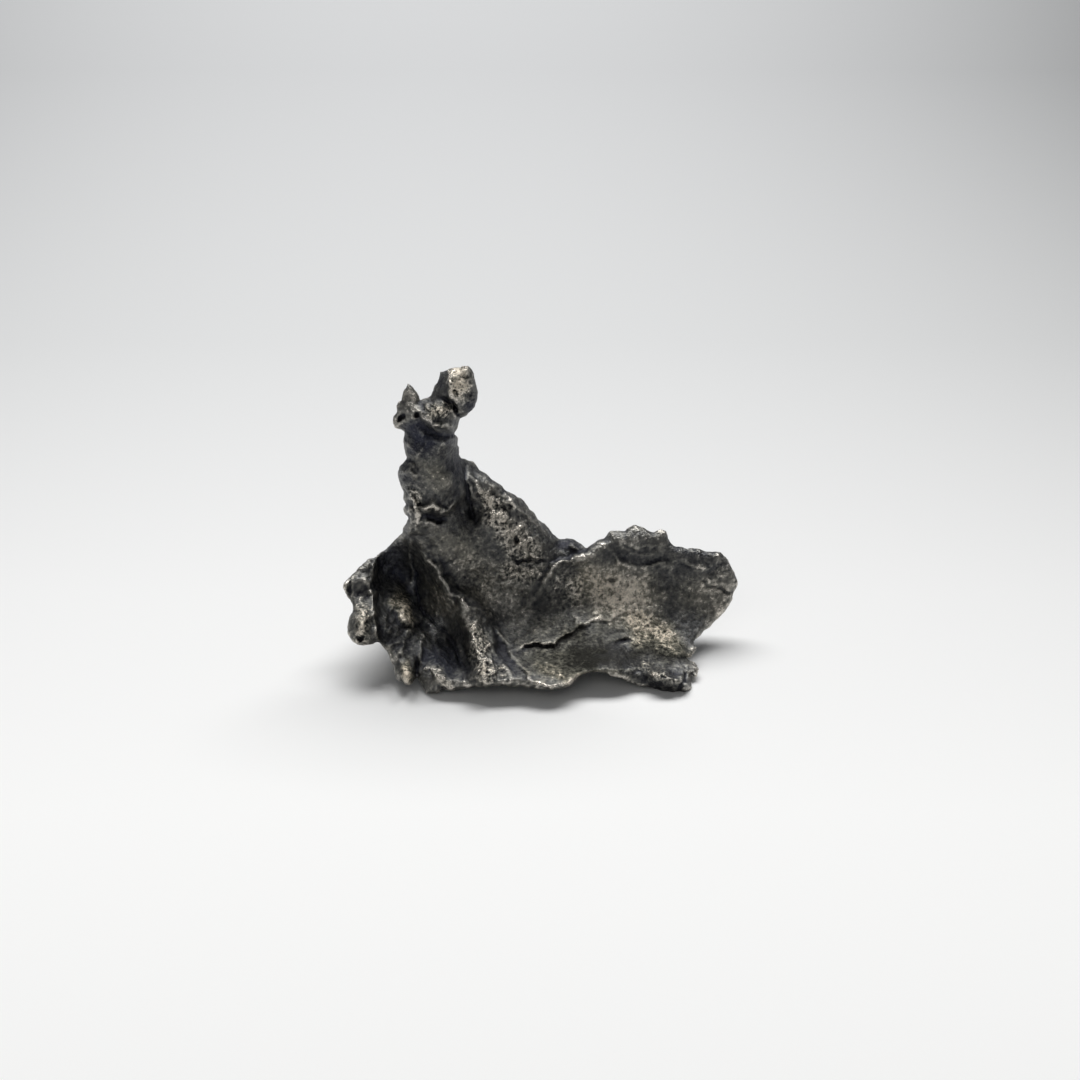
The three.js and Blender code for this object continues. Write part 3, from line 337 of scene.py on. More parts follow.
# Patches of the front face. Their first strength lightens (above 0) or darkens (below 0) the metal:
# partly wear and dark patina, partly painted highlights and painted shade, such as the lit and the
# shaded side of the head, shade in grooves and recesses and light lifted into the deep valley. The
# others say where the metal is warm or cold, and where it is pitted.
WEAR_AND_SHADING_PATCHES = [
    # head, collar and ear
    # worn, crusty right side of the head, brightened further with a painted highlight; painted
    # shade on its dark left side
    oval((-11.7, 39.8), (2.4, 3.8), tone=3.6, warm=1.1, pitted=1.3),
    oval((-14.5, 39.6), (1.3, 2.6), tone=-0.5, warm=-0.5),
    oval((-10.1, 36.6), (1.7, 2.2), 20, tone=-2.2, warm=-0.6, pitted=0.1),
    oval((-15.4, 35.6), (3.4, 1.8), -18, warm=0.9, pitted=1.3),
    oval((-19.8, 37.2), (1.3, 2.4), tone=0.9, warm=0.1, pitted=0.1),
    # painted shade that dims the highlight at the ear's tip
    oval((-19.8, 39.2), (1.3, 1.2), tone=-1.6),
    # painted shade in the hollow under the collar
    oval((-16.4, 31.8), (3.8, 2), -10, tone=-1.1, warm=-1),
    oval((-16.6, 29.8), (3.6, 2.8), tone=-0.9, warm=-0.3, pitted=0.3),
    # neck
    oval((-19.2, 31), (1.7, 2.6), tone=-1.4, warm=-0.6, pitted=0.3),
    oval((-20.2, 25.8), (1.9, 2.6), tone=-1.1, warm=-0.1, pitted=0.1),
    # painted shade in the groove between neck and slope
    oval((-12.3, 27), (1.3, 5.6), tone=-1.5, warm=-0.2),
    oval((-15.4, 25.8), (2.6, 3.6), tone=0.15, warm=0.4),
    oval((-19, 21.8), (1.5, 3.8), 16, tone=1.5, warm=0.3, pitted=1.1),
    oval((-15.6, 20.9), (3.2, 0.6), tone=0.6, warm=0.2, pitted=0.2),
    # painted shadow in the recess under the apron's lip
    oval((-15.8, 19.2), (2.2, 0.9), -6, tone=-0.9, warm=-0.4),
    # pitted slope
    oval((-7.2, 20.8), (4.4, 2.3), -52, tone=1.2, warm=0.6, pitted=1.4),
    oval((-3.2, 16.2), (4.8, 3.3), -42, tone=1.9, warm=0.6, pitted=1.6),
    oval((-2.8, 11.2), (3.8, 2.2), -10, tone=1.2, warm=0.6, pitted=1.2),
    oval((-2, 13), (2.8, 0.5), tone=-0.9, warm=-0.2),
    oval((-2.4, 20.3), (6.6, 1.1), -45, tone=0.6, warm=0.1, pitted=0.3),
    oval((-11, 23), (0.8, 5), 4, tone=-0.4, warm=-0.3),
    # scoop
    oval((-13.6, 15.6), (4.4, 3), -30, tone=0.4, warm=0.4),
    oval((-9.6, 11), (4.2, 5.8), 40, tone=1, warm=0.4, pitted=0.3),
    oval((-5, 6.8), (5.4, 3.8), -30, tone=1.6, pitted=0.1),
    oval((-5.2, -1), (1.2, 4.8), 34, tone=-0.8, warm=-0.1),
    oval((1, 1.2), (7, 3.6), 10, tone=-0.2, warm=0.7, pitted=0.2),
    # painted shade on the smooth band above the thin front edge
    oval((9.4, -1.8), (6.6, 2.8), tone=-2, warm=1),
    oval((2.5, -2.6), (6.5, 3.2), tone=-0.5, warm=1.3, pitted=0.2),
    oval((8, 1.4), (5.5, 2.8), 10, tone=-0.8, warm=1, pitted=0.1),
    # right lobe
    # the lobe's bright middle: wear with a painted highlight
    oval((11.4, 8), (8.6, 5.4), -10, tone=2.2, warm=0.9, pitted=0.2),
    oval((17, 1.9), (5.8, 3.2), -20, tone=1.8, warm=1.5, pitted=0.5),
    oval((4.2, 9.2), (3.6, 3.8), tone=0.8, warm=0.1, pitted=0.6),
    oval((25, 7.6), (4.6, 4.6), 30, tone=1.3, warm=0.2),
    oval((27, 11.6), (1.6, 1.4), tone=0.3, pitted=0.4),
    oval((17, -3.6), (4.2, 1.1), -16, tone=-0.3, warm=0.7, pitted=1),
    # painted shade on the underside of the rolled foot
    oval((18.4, -5.9), (4.2, 1.3), -14, tone=-1.5, warm=0.4, pitted=0.4),
    # painted shade that dims the reflection on the lump at the notch
    oval((5, 15.3), (2.6, 1.5), tone=-1.4),
    # painted shade that breaks up the highlight along the lobe's top rim
    oval((23.6, 14.5), (5.2, 1.4), -4, tone=-1.1, pitted=0.2),
    oval((18, -1.1), (6.2, 2.2), -6, tone=-1.2, warm=1.2, pitted=0.2),
    # front edge
    oval((-9.2, 0.4), (2.3, 5.2), 14, tone=1.1, warm=0.5, pitted=1.2),
    oval((-7.2, -3.6), (3.2, 2), tone=0.9, warm=0.7, pitted=1.1),
    oval((1.6, -4.4), (4.2, 1.9), tone=0.8, warm=0.6, pitted=0.1),
    # wing
    # painted shade along the wing's overhanging top rim
    oval((-24.2, 14), (4.4, 1.5), 40, tone=-1.1, pitted=0.2),
    oval((-26.9, 4), (2, 4.2), tone=0.6, warm=0.6, pitted=0.9),
    oval((-20.6, 5.9), (2.3, 3.8), 32, tone=1.4, warm=1.5, pitted=0.6),
    oval((-20.2, -3.8), (1.7, 2.4), 10, tone=0.2, warm=1.5, pitted=0.4),
    oval((-15.2, -4.3), (3.2, 1.2), -34, tone=2.1, warm=0.5, pitted=0.6),
    # painted cold, navy tint of shade in the wing's pocket
    oval((-22.2, 12.6), (3, 3.4), -30, tone=0.1, warm=-1.4),
    # painted light lifts the deep foot of the valley, in the cold tint of its shade
    oval((-18.4, 7.4), (1.4, 5.6), 8, tone=0.5, warm=-1.6),
    oval((-16, 3.4), (1.4, 3.4), 40, tone=1.8, warm=-1.6),
    oval((-14.6, 6.2), (2.2, 5), 36, tone=1.7, warm=0.3),
    oval((-15, -1.8), (3.4, 3.2), 20, tone=-2, warm=-0.4, pitted=0.2),
    oval((-21.6, 1), (3.8, 3.2), -20, tone=-1.1, warm=0.5, pitted=0.2),
]


def smooth_map(points):
    """A smooth map through (right, up, value) points: soft cones on a tilted plane."""
    table = np.array(points, float)
    count = len(table)

    def cone(a, b, spot):
        return np.sqrt((a - spot[0]) ** 2 + (b - spot[1]) ** 2 + SOFTNESS**2)

    system = np.zeros((count + 3, count + 3))
    for row, spot in enumerate(table):
        system[row, :count] = cone(table[:, 0], table[:, 1], spot)
        system[row, count:] = (1, spot[0], spot[1])
        system[count:, row] = (1, spot[0], spot[1])
    weights = np.linalg.solve(system, np.append(table[:, 2], (0, 0, 0)))

    def height(a, b):
        total = weights[count] + weights[count + 1] * a + weights[count + 2] * b
        for weight, spot in zip(weights, table):
            total = total + weight * cone(a, b, spot)
        return total

    return height


def nearest(a, b, start, end):
    """The nearest place on a segment: its distance, its share of the way and its side."""
    da, db = end[0] - start[0], end[1] - start[1]
    share = np.clip(((a - start[0]) * da + (b - start[1]) * db) / (da * da + db * db), 0, 1)
    distance = np.hypot(a - start[0] - share * da, b - start[1] - share * db)
    side = da * (b - start[1]) - db * (a - start[0])
    return distance, share, side


def fold_height(drawn, a, b):
    """How far a drawn fold lifts the face at points of the drawing plane."""
    closest = np.full(a.shape, np.inf)
    height = np.zeros(a.shape)
    reach = np.ones(a.shape)
    for start, end in zip(drawn["line"][:-1], drawn["line"][1:]):
        distance, share, side = nearest(a, b, start, end)
        closer = distance < closest
        closest[closer] = distance[closer]
        height[closer] = (start[2] + (end[2] - start[2]) * share)[closer]
        reach[closer] = np.where(side > 0, *drawn["reach"])[closer]
    rounding = 0 if drawn["rounded"] else SHARPEST
    fall = np.clip((np.hypot(closest, rounding) - rounding) / reach, 0, 1)
    return height * ((1 - fall**2) ** 2 if drawn["rounded"] else (1 - fall) ** 2)


def patch(drawn, a, b):
    """1 in the middle of a drawn oval, falling to 0 at its rim."""
    turn = math.radians(drawn["turn"])
    da, db = a - drawn["middle"][0], b - drawn["middle"][1]
    along = (da * math.cos(turn) + db * math.sin(turn)) / drawn["size"][0]
    across = (db * math.cos(turn) - da * math.sin(turn)) / drawn["size"][1]
    return np.clip(1 - along**2 - across**2, 0, 1)


def wander(a, b, reach, size):
    """Shifts of the drawing plane's points that make drawn lines and patches ragged."""
    places = np.stack([a.ravel(), b.ravel(), np.zeros(a.size)], axis=1)
    return [
        reach * noise_at(places, size, octaves=3, seed=seed).reshape(a.shape)
        for seed in (11.3, 14.9)
    ]


def depth_inside(a, b):
    """How deep a point of the drawing plane lies inside the outline; negative outside it."""
    distance = np.full(a.shape, np.inf)
    inside = np.zeros(a.shape, bool)
    for start, end in zip(OUTLINE, OUTLINE[1:] + OUTLINE[:1]):
        distance = np.minimum(distance, nearest(a, b, start, end)[0])
        if start[1] != end[1]:
            crossing = (end[0] - start[0]) * (b - start[1]) / (end[1] - start[1]) + start[0]
            inside ^= ((start[1] > b) != (end[1] > b)) & (a < crossing)
    return np.where(inside, distance, -distance)


def sheet_columns(a, b):
    """The sheet over points of the drawing plane: its margin, front, back and their slopes."""
    half = np.maximum(smooth_map(THICKNESS)(a, b), THINNEST) / 2
    middle = smooth_map(FRONT)(a, b) - half
    wander_a, wander_b = wander(a, b, RAGGED, RAGGED_SIZE)
    margin = depth_inside(a + wander_a / 2, b + wander_b / 2)
    a, b = a + wander_a, b + wander_b
    relief = sum(fold_height(drawn, a, b) for drawn in FOLDS)
    relief += sum(drawn["height"] * patch(drawn, a, b) ** 2 for drawn in LUMPS)
    back_relief = sum(fold_height(drawn, a, b) for drawn in BACK_FOLDS)
    rim = np.clip(margin / half, 0, 1)
    full = np.sqrt(rim * (2 - rim))
    front = middle + np.maximum(half + relief, LEAST_WALL) * full
    back = middle - np.maximum(half + back_relief, LEAST_WALL) * full
    slopes = [
        np.minimum(np.sqrt(1 + sum(g**2 for g in np.gradient(face, CELL))), STEEPEST)
        for face in (front, back)
    ]
    return {"margin": margin, "front": front, "back": back,
            "front_slope": slopes[0], "back_slope": slopes[1]}


def sheet_distance(c, at):
    """Distance from the sheet, roughly, at height c over places of the drawing plane."""
    faces = np.maximum((c - at["front"]) / at["front_slope"], (at["back"] - c) / at["back_slope"])
    return np.maximum(faces, -at["margin"])


def to_upright(points):
    """From the leaning drawing frame to the upright one, with the origin under the middle."""
    a, b, c = points.T
    return np.stack([
        a - CENTRE_X,
        b * math.sin(LEAN) - c * math.cos(LEAN) - CENTRE_Y,
        b * math.cos(LEAN) + c * math.sin(LEAN),
    ], axis=1)


def to_leaning(points):
    """From the upright frame, before its origin is moved to the middle, to the leaning one."""
    x, y, z = points.T
    return np.stack([
        x,
        y * math.sin(LEAN) + z * math.cos(LEAN),
        z * math.sin(LEAN) - y * math.cos(LEAN),
    ], axis=1)


def web_distance(points):
    """Distance from the web behind the scoop, a thick triangle."""
    corners = to_leaning(np.array(WEB))
    normal = np.cross(corners[1] - corners[0], corners[2] - corners[0])
    normal /= np.linalg.norm(normal)
    over = np.ones(len(points), bool)
    edge_distance = np.full(len(points), np.inf)
    for start, end in zip(corners, np.roll(corners, -1, axis=0)):
        edge = end - start
        over &= (points - start) @ np.cross(normal, edge) >= 0
        share = np.clip((points - start) @ edge / (edge @ edge), 0, 1)
        spot = start + share[:, None] * edge
        edge_distance = np.minimum(edge_distance, np.linalg.norm(points - spot, axis=1))
    plane_distance = np.abs((points - corners[0]) @ normal)
    return np.where(over, plane_distance, edge_distance) - WEB_HALF_THICKNESS


def join(first, second):
    """Joins two distances with a fillet."""
    share = np.maximum(BLEND - np.abs(first - second), 0) / BLEND
    return np.minimum(first, second) - share**2 * BLEND / 4


def look_up(column, a, b):
    """A column map read between its grid points."""
    last = np.array(column.shape) - 1.001
    u = np.clip((a - LOW[0]) / CELL, 0, last[0])
    v = np.clip((b - LOW[1]) / CELL, 0, last[1])
    i, j = u.astype(int), v.astype(int)
    s, t = u - i, v - j
    return ((column[i, j] * (1 - s) + column[i + 1, j] * s) * (1 - t)
            + (column[i, j + 1] * (1 - s) + column[i + 1, j + 1] * s) * t)


def field(points, columns):
    """Distance from the surface, roughly, in the drawing frame; negative inside."""
    a, b, c = points.T
    at = {name: look_up(column, a, b) for name, column in columns.items()}
    return join(sheet_distance(c, at), web_distance(points))


# A grid cell's corners as (i, j, l) steps, and its edges and faces as corner numbers.
CORNERS = np.array([(k & 1, k >> 1 & 1, k >> 2) for k in range(8)])
EDGES = [(k, k | bit) for k in range(8) for bit in (1, 2, 4) if not k & bit]
FACES = [(0, 1, 3, 2), (4, 5, 7, 6), (0, 1, 5, 4), (2, 3, 7, 6), (0, 2, 6, 4), (1, 3, 7, 5)]


def hangs_together(mask):
    """True if the corners of a cell in this mask all hang together along its edges."""
    members = {k for k in range(8) if mask >> k & 1}
    reached = set(list(members)[:1])
    for _ in members:
        for p, q in EDGES:
            if {p, q} <= members and reached & {p, q}:
                reached |= {p, q}
    return reached == members


def is_simple(mask):
    """True if one sheet of surface passes through a cell with these corners inside."""
    checkered = any(
        (mask >> p & 1) == (mask >> r & 1) != (mask >> q & 1) == (mask >> s & 1)
        for p, q, r, s in FACES
    )
    return hangs_together(mask) and hangs_together(255 - mask) and not checkered


SIMPLE = np.array([is_simple(mask) for mask in range(256)])


def corner_masks(values):
    """For each grid cell, which of its eight corners are inside, as bits."""
    inside = values < 0
    nx, ny, nz = (n - 1 for n in values.shape)
    masks = np.zeros((nx, ny, nz), np.uint8)
    for k, (i, j, l) in enumerate(CORNERS):
        masks |= inside[i:i + nx, j:j + ny, l:l + nz].astype(np.uint8) << k
    return masks


def part_pinches(values):
    """Where walls meet inside one cell, moves the corner nearest the surface to its other side."""
    most_rounds = 60
    reluctance = 10
    nudge = 0.02 * CELL
    moved = np.zeros(values.shape, bool)
    for _ in range(most_rounds):
        masks = corner_masks(values)
        pinched = np.argwhere(~SIMPLE[masks])
        if not len(pinched):
            break
        spots = pinched[:, None, :] + CORNERS[None]
        place = (spots[..., 0], spots[..., 1], spots[..., 2])
        stays_pinched = ~SIMPLE[masks[tuple(pinched.T)][:, None] ^ (1 << np.arange(8))]
        cost = np.abs(values[place]) + reluctance * moved[place] + reluctance * stays_pinched
        chosen = tuple(spots[np.arange(len(spots)), cost.argmin(axis=1)].T)
        values[chosen] = np.where(values[chosen] < 0, nudge, -nudge)
        moved[chosen] = True
    return masks


def crossing_spots(values, cells):
    """The mean of the places where the surface crosses each cell's edges."""
    total = np.zeros((len(cells), 3))
    count = np.zeros(len(cells))
    for p, q in EDGES:
        start, end = cells + CORNERS[p], cells + CORNERS[q]
        vp, vq = values[tuple(start.T)], values[tuple(end.T)]
        crossed = (vp < 0) != (vq < 0)
        share = np.where(crossed, vp / np.where(crossed, vp - vq, 1), 0)
        total += np.where(crossed[:, None], start + (end - start) * share[:, None], 0)
        count += crossed
    return total / count[:, None] * CELL + np.array(LOW)


def faces_across_edges(values, number):
    """A four-cornered face round each grid edge that the surface crosses, facing outward."""
    faces = []
    for axis in range(3):
        u, v = np.eye(3, dtype=int)[(axis + 1) % 3], np.eye(3, dtype=int)[(axis + 2) % 3]
        near, far = (
            values[tuple(part if k == axis else slice(None) for k in range(3))]
            for part in (slice(-1), slice(1, None))
        )
        edges = np.argwhere((near < 0) != (far < 0))
        outward = values[tuple(edges.T)] < 0
        ring = [edges - s * u - t * v for s, t in ((0, 0), (1, 0), (1, 1), (0, 1))]
        quads = np.stack([number[tuple(spot.T)] for spot in ring], axis=1)
        quads[~outward] = quads[~outward][:, ::-1]
        faces.append(quads)
    return np.concatenate(faces)


def skin():
    """A closed skin of four-cornered faces: one vertex in each cell that the surface crosses."""
    axes = [np.arange(low, high, CELL) for low, high in zip(LOW, HIGH)]
    a, b = np.meshgrid(axes[0], axes[1], indexing="ij")
    columns = sheet_columns(a, b)
    at = {name: column[..., None] for name, column in columns.items()}
    values = sheet_distance(axes[2], at)
    add_web(values, axes)
    masks = part_pinches(values)
    cells = np.argwhere((masks > 0) & (masks < 255))
    number = np.full(masks.shape, -1, int)
    number[tuple(cells.T)] = np.arange(len(cells))
    spots = settle(crossing_spots(values, cells), cells * CELL + np.array(LOW), columns)
    return spots, faces_across_edges(values, number), columns


def add_web(values, axes):
    """Joins the web to the sheet, in the part of the grid near it."""
    corners = to_leaning(np.array(WEB))
    reach = WEB_HALF_THICKNESS + BLEND
    spans = [
        np.flatnonzero((axis > low - reach) & (axis < high + reach))
        for axis, low, high in zip(axes, corners.min(0), corners.max(0))
    ]
    box = np.ix_(*spans)
    grid = np.stack(np.meshgrid(*[axis[span] for axis, span in zip(axes, spans)],
                                indexing="ij"), axis=-1)
    web = web_distance(grid.reshape(-1, 3)).reshape(grid.shape[:3])
    values[box] = join(values[box], web)


def settle(spots, origins, columns):
    """Moves each vertex onto the surface in three rounds, and keeps it inside its cell."""
    step = 0.03
    least_steepness = 0.3
    for _ in range(3):
        value = field(spots, columns)
        slope = np.stack([
            (field(spots + step * axis, columns) - value) / step for axis in np.eye(3)
        ], axis=1)
        steepness = np.maximum((slope**2).sum(1), least_steepness)
        spots = spots - slope * (value / steepness)[:, None]
        spots = np.clip(spots, origins, origins + CELL)
    return spots


def largest_part(spots, faces):
    """Drops any crumb that isn't joined to the main skin."""
    label = np.arange(len(spots))
    while True:
        lowest = label[faces].min(axis=1)
        new = label.copy()
        for corner in range(4):
            np.minimum.at(new, faces[:, corner], lowest)
        new = new[new]
        if (new == label).all():
            break
        label = new
    main = label == np.bincount(label).argmax()
    number = np.cumsum(main) - 1
    return spots[main], number[faces[main[faces[:, 0]]]]


def normals_of(spots, faces):
    """Vertex normals, as the mean of the faces around each vertex."""
    p, q, r, s = (spots[faces[:, k]] for k in range(4))
    face_normals = np.cross(r - p, s - q)
    normals = np.zeros_like(spots)
    for k in range(4):
        np.add.at(normals, faces[:, k], face_normals)
    return normals / np.maximum(np.linalg.norm(normals, axis=1, keepdims=True), 1e-9)


def smoothed(values, faces, rounds):
    """Vertex values averaged with their neighbours', some rounds over."""
    own_share = 0.3
    sides = np.concatenate([faces[:, [k, (k + 1) % 4]] for k in range(4)])
    degree = np.bincount(sides[:, 0], minlength=len(values))
    for _ in range(rounds):
        total = np.stack([
            np.bincount(sides[:, 0], weights=values[sides[:, 1], k], minlength=len(values))
            for k in range(values.shape[1])
        ], axis=1)
        values = own_share * values + (1 - own_share) * total / degree[:, None]
    return values


def noise_at(spots, size, octaves=4, seed=0.0):
    """Cloudy noise of about -1 to 1 with features of this size."""
    fading, refining = 0.9, 2.0
    shift = Vector((seed, seed * 1.7, -seed))
    return np.array([
        noise.fractal(Vector(spot) / size + shift, fading, refining, octaves) for spot in spots
    ])


def crumple_at(spots, size, octaves=4, seed=0.0):
    """Creased noise of about -0.5 to 0.5, with sharp ridges."""
    fading, refining, offset, gain = 0.9, 2.1, 1.0, 2.0
    shift = Vector((seed, -seed, seed * 1.3))
    return np.array([
        noise.ridged_multi_fractal(Vector(spot) / size + shift,
                                   fading, refining, octaves, offset, gain)
        for spot in spots
    ]) / 2 - 0.5


def pits_at(spots, size, seed=0.0):
    """Round pits: 1 at the middle of each, 0 between them."""
    radius = 0.55
    shift = Vector((-seed, seed, seed * 0.6))
    distance = np.array([noise.voronoi(Vector(spot) / size + shift)[0][0] for spot in spots])
    return np.clip(1 - distance / radius, 0, 1) ** 1.5


def raise_grain(spots, faces, columns):
    """Raises grain, wrinkles and pits on the skin; also gives 1 on the front face, 0 behind.

    Each layer of relief is a height times a noise with features of a given size. The finer ones
    are read at places that are shifted by up to 0.3 mm, which makes them ragged.
    """
    normals = normals_of(spots, faces)
    a, b, c = spots.T
    front = look_up(columns["front"], a, b)
    back = look_up(columns["back"], a, b)
    facing = np.clip((c - back) / np.maximum(front - back, 0.1), 0, 1)
    behind = 1 - facing
    pitted = np.clip(facing * total_of("pitted", a, b), 0, MOST_PITTED)
    ragged = spots + 0.3 * np.stack([noise_at(spots, 1.1, 2, seed=k) for k in range(3)], 1)
    relief = sum([
        0.20 * noise_at(spots, 3.2, seed=3.1),                           # swells
        0.20 * crumple_at(spots, 2.6, seed=1.7) * (0.8 + 0.5 * behind),  # wrinkles
        0.55 * crumple_at(spots, 6.5, octaves=2, seed=2.9) * behind,     # wide wrinkles behind
        0.09 * crumple_at(ragged, 1.2, octaves=2, seed=7.7),             # fine wrinkles
        0.26 * crumple_at(ragged, 2.2, octaves=3, seed=5.3) * pitted,    # crests between pits
        0.24 * noise_at(ragged, 1.1, octaves=3, seed=9.1) * pitted,      # gnawed ground
        -0.34 * pits_at(ragged, 1.7, seed=2.3) * pitted,                 # wide pits
        -0.26 * pits_at(ragged, 0.95, seed=5.9) * pitted,                # small pits
        -0.45 * pits_at(ragged, 4.6, seed=6.1) * behind,                 # dents behind
    ])
    return spots + normals * relief[:, None], facing


def total_of(kind, a, b):
    """One of the strengths of all the tone patches together."""
    shift_a, shift_b = wander(a, b, PATCH_RAGGED, PATCH_RAGGED_SIZE)
    return sum(
        drawn[kind] * patch(drawn, a + shift_a, b + shift_b) for drawn in WEAR_AND_SHADING_PATCHES if kind in drawn
    )


def paint(spots, faces, facing):
    """Vertex values from 0 to 1 for the material: how bright, from wear with painted light and
    shade, how warm and how pitted.
    """
    normals = normals_of(spots, faces)
    fine, broad = (
        ((spots - smoothed(spots, faces, rounds)) * normals).sum(1) for rounds in (3, 30)
    )
    a, b, _ = spots.T
    tone, warm, pitted = (facing * total_of(kind, a, b) for kind in ("tone", "warm", "pitted"))
    # painted shade: rims that turn up and back, away from the camera, catch the most light and are
    # darkened to dim their highlights
    painted_rim_shade = np.clip(1 - 2 * normals[:, 2], 0, 1) * np.clip(0.5 + normals[:, 1], 0, 1)
    wear_and_painted_light = sum([
        # the drawn patches carry wear together with painted highlights and painted shade
        0.35 + 0.26 * tone,                                             # drawn patches
        0.6 * np.clip(broad, -0.4, 0.4),                                # crests and hollows
        5.0 * np.clip(fine, -0.06, 0.06),                               # grain
        (0.07 + 0.13 * (1 - facing)) * noise_at(spots, 4.5, seed=8.2),  # clouds
        -0.24 * painted_rim_shade * np.clip(2 * facing, 0, 1),                    # rims seen edge on
    ])
    warmth = 0.5 + 0.4 * warm + 0.12 * noise_at(spots, 7.0, seed=4.4)
    return {"wear_and_painted_light": np.clip(wear_and_painted_light, 0, 1), "warmth": np.clip(warmth, 0, 1),
            "pitted": np.clip(pitted, 0, 1)}


def add_object(name, data):
    """Puts a mesh, a light or a camera into the scene."""
    made = bpy.data.objects.new(name, data)
    bpy.context.scene.collection.objects.link(made)
    return made


def make_piece():
    """The whole meteorite as one mesh."""
    spots, faces, columns = skin()
    spots, faces = largest_part(spots, faces)
    spots, facing = raise_grain(spots, faces, columns)
    values = paint(spots, faces, facing)
    standing = to_upright(spots)
    standing[:, 2] = np.maximum(standing[:, 2], 0)
    mesh = bpy.data.meshes.new("iron_meteorite")
    mesh.from_pydata((standing * METRES).tolist(), [], faces.tolist())
    mesh.shade_smooth()
    for name, value in values.items():
        layer = mesh.attributes.new(name, "FLOAT", "POINT")
        layer.data.foreach_set("value", value.astype(np.float32))
    return add_object("iron_meteorite", mesh)


class Shader:
    """A small helper that adds and links the nodes of one material."""

    def __init__(self, name):
        self.material = bpy.data.materials.new(name)
        self.material.use_nodes = True
        self.tree = self.material.node_tree

    def feed(self, node, sources):
        """Links each named input of a node to an output, or gives it a plain value."""
        for name, source in sources.items():
            if isinstance(source, (int, float, tuple)):
                node.inputs[name].default_value = source
            else:
                self.tree.links.new(source, node.inputs[name])

    def node(self, kind, sources, **settings):
        """Adds a node of this kind, with these settings and sources."""
        made = self.tree.nodes.new(kind)
        for name, value in settings.items():
            setattr(made, name, value)
        self.feed(made, sources)
        return made

    def finish(self, sources):
        """Feeds the surface and gives the material."""
        self.feed(self.tree.nodes["Principled BSDF"], sources)
        return self.material

    def attribute(self, name):
        """A value that the mesh carries on its vertices."""
        return self.node("ShaderNodeAttribute", {}, attribute_name=name).outputs["Fac"]

    def place(self):
        """The place on the object, in metres."""
        return self.node("ShaderNodeTexCoord", {}).outputs["Object"]

    def math(self, operation, *values, clamp=False):
        """The result of a sum with these values, held between 0 and 1 if clamped."""
        return self.node("ShaderNodeMath", dict(enumerate(values)),
                         operation=operation, use_clamp=clamp).outputs[0]

    def spread(self, source, low, high, first=0.0, last=1.0):
        """Maps the range from low to high onto first to last, and holds the ends."""
        return self.node("ShaderNodeMapRange", {
            "Value": source, "From Min": low, "From Max": high, "To Min": first, "To Max": last,
        }).outputs["Result"]

    def noise(self, size_mm, detail, roughness=0.6):
        """Noise of 0 to 1 with features of this size on the object."""
        return self.node("ShaderNodeTexNoise", {
            "Vector": self.place(), "Scale": 1 / (size_mm * METRES),
            "Detail": detail, "Roughness": roughness,
        }).outputs["Fac"]

    def holes(self, size_mm, radius):
        """Round holes at random places: 1 in the middle of each, 0 between them."""
        flat_share = 0.35
        cells = self.node("ShaderNodeTexVoronoi", {
            "Vector": self.place(), "Scale": 1 / (size_mm * METRES),
        })
        return self.spread(cells.outputs["Distance"], radius, radius * flat_share)

    def ramp(self, source, *stops):
        """A colour ramp through (position, colour) stops."""
        made = self.node("ShaderNodeValToRGB", {"Fac": source})
        elements = made.color_ramp.elements
        while len(elements) < len(stops):
            elements.new(0.5)
        for element, (position, colour) in zip(elements, stops):
            element.position = position
            element.color = (*colour, 1)
        return made.outputs["Color"]

    def mix(self, share, first, second):
        """The first colour at share 0, the second at 1."""
        return self.node("ShaderNodeMix", {"Factor": share, "A": first, "B": second},
                         data_type="RGBA").outputs["Result"]

    def bump(self, height, depth_mm, under=None):
        """The normal of a surface with this height map, on top of another one if given."""
        sources = {"Height": height, "Strength": 0.9, "Distance": depth_mm * METRES}
        if under is not None:
            sources["Normal"] = under
        return self.node("ShaderNodeBump", sources).outputs["Normal"]


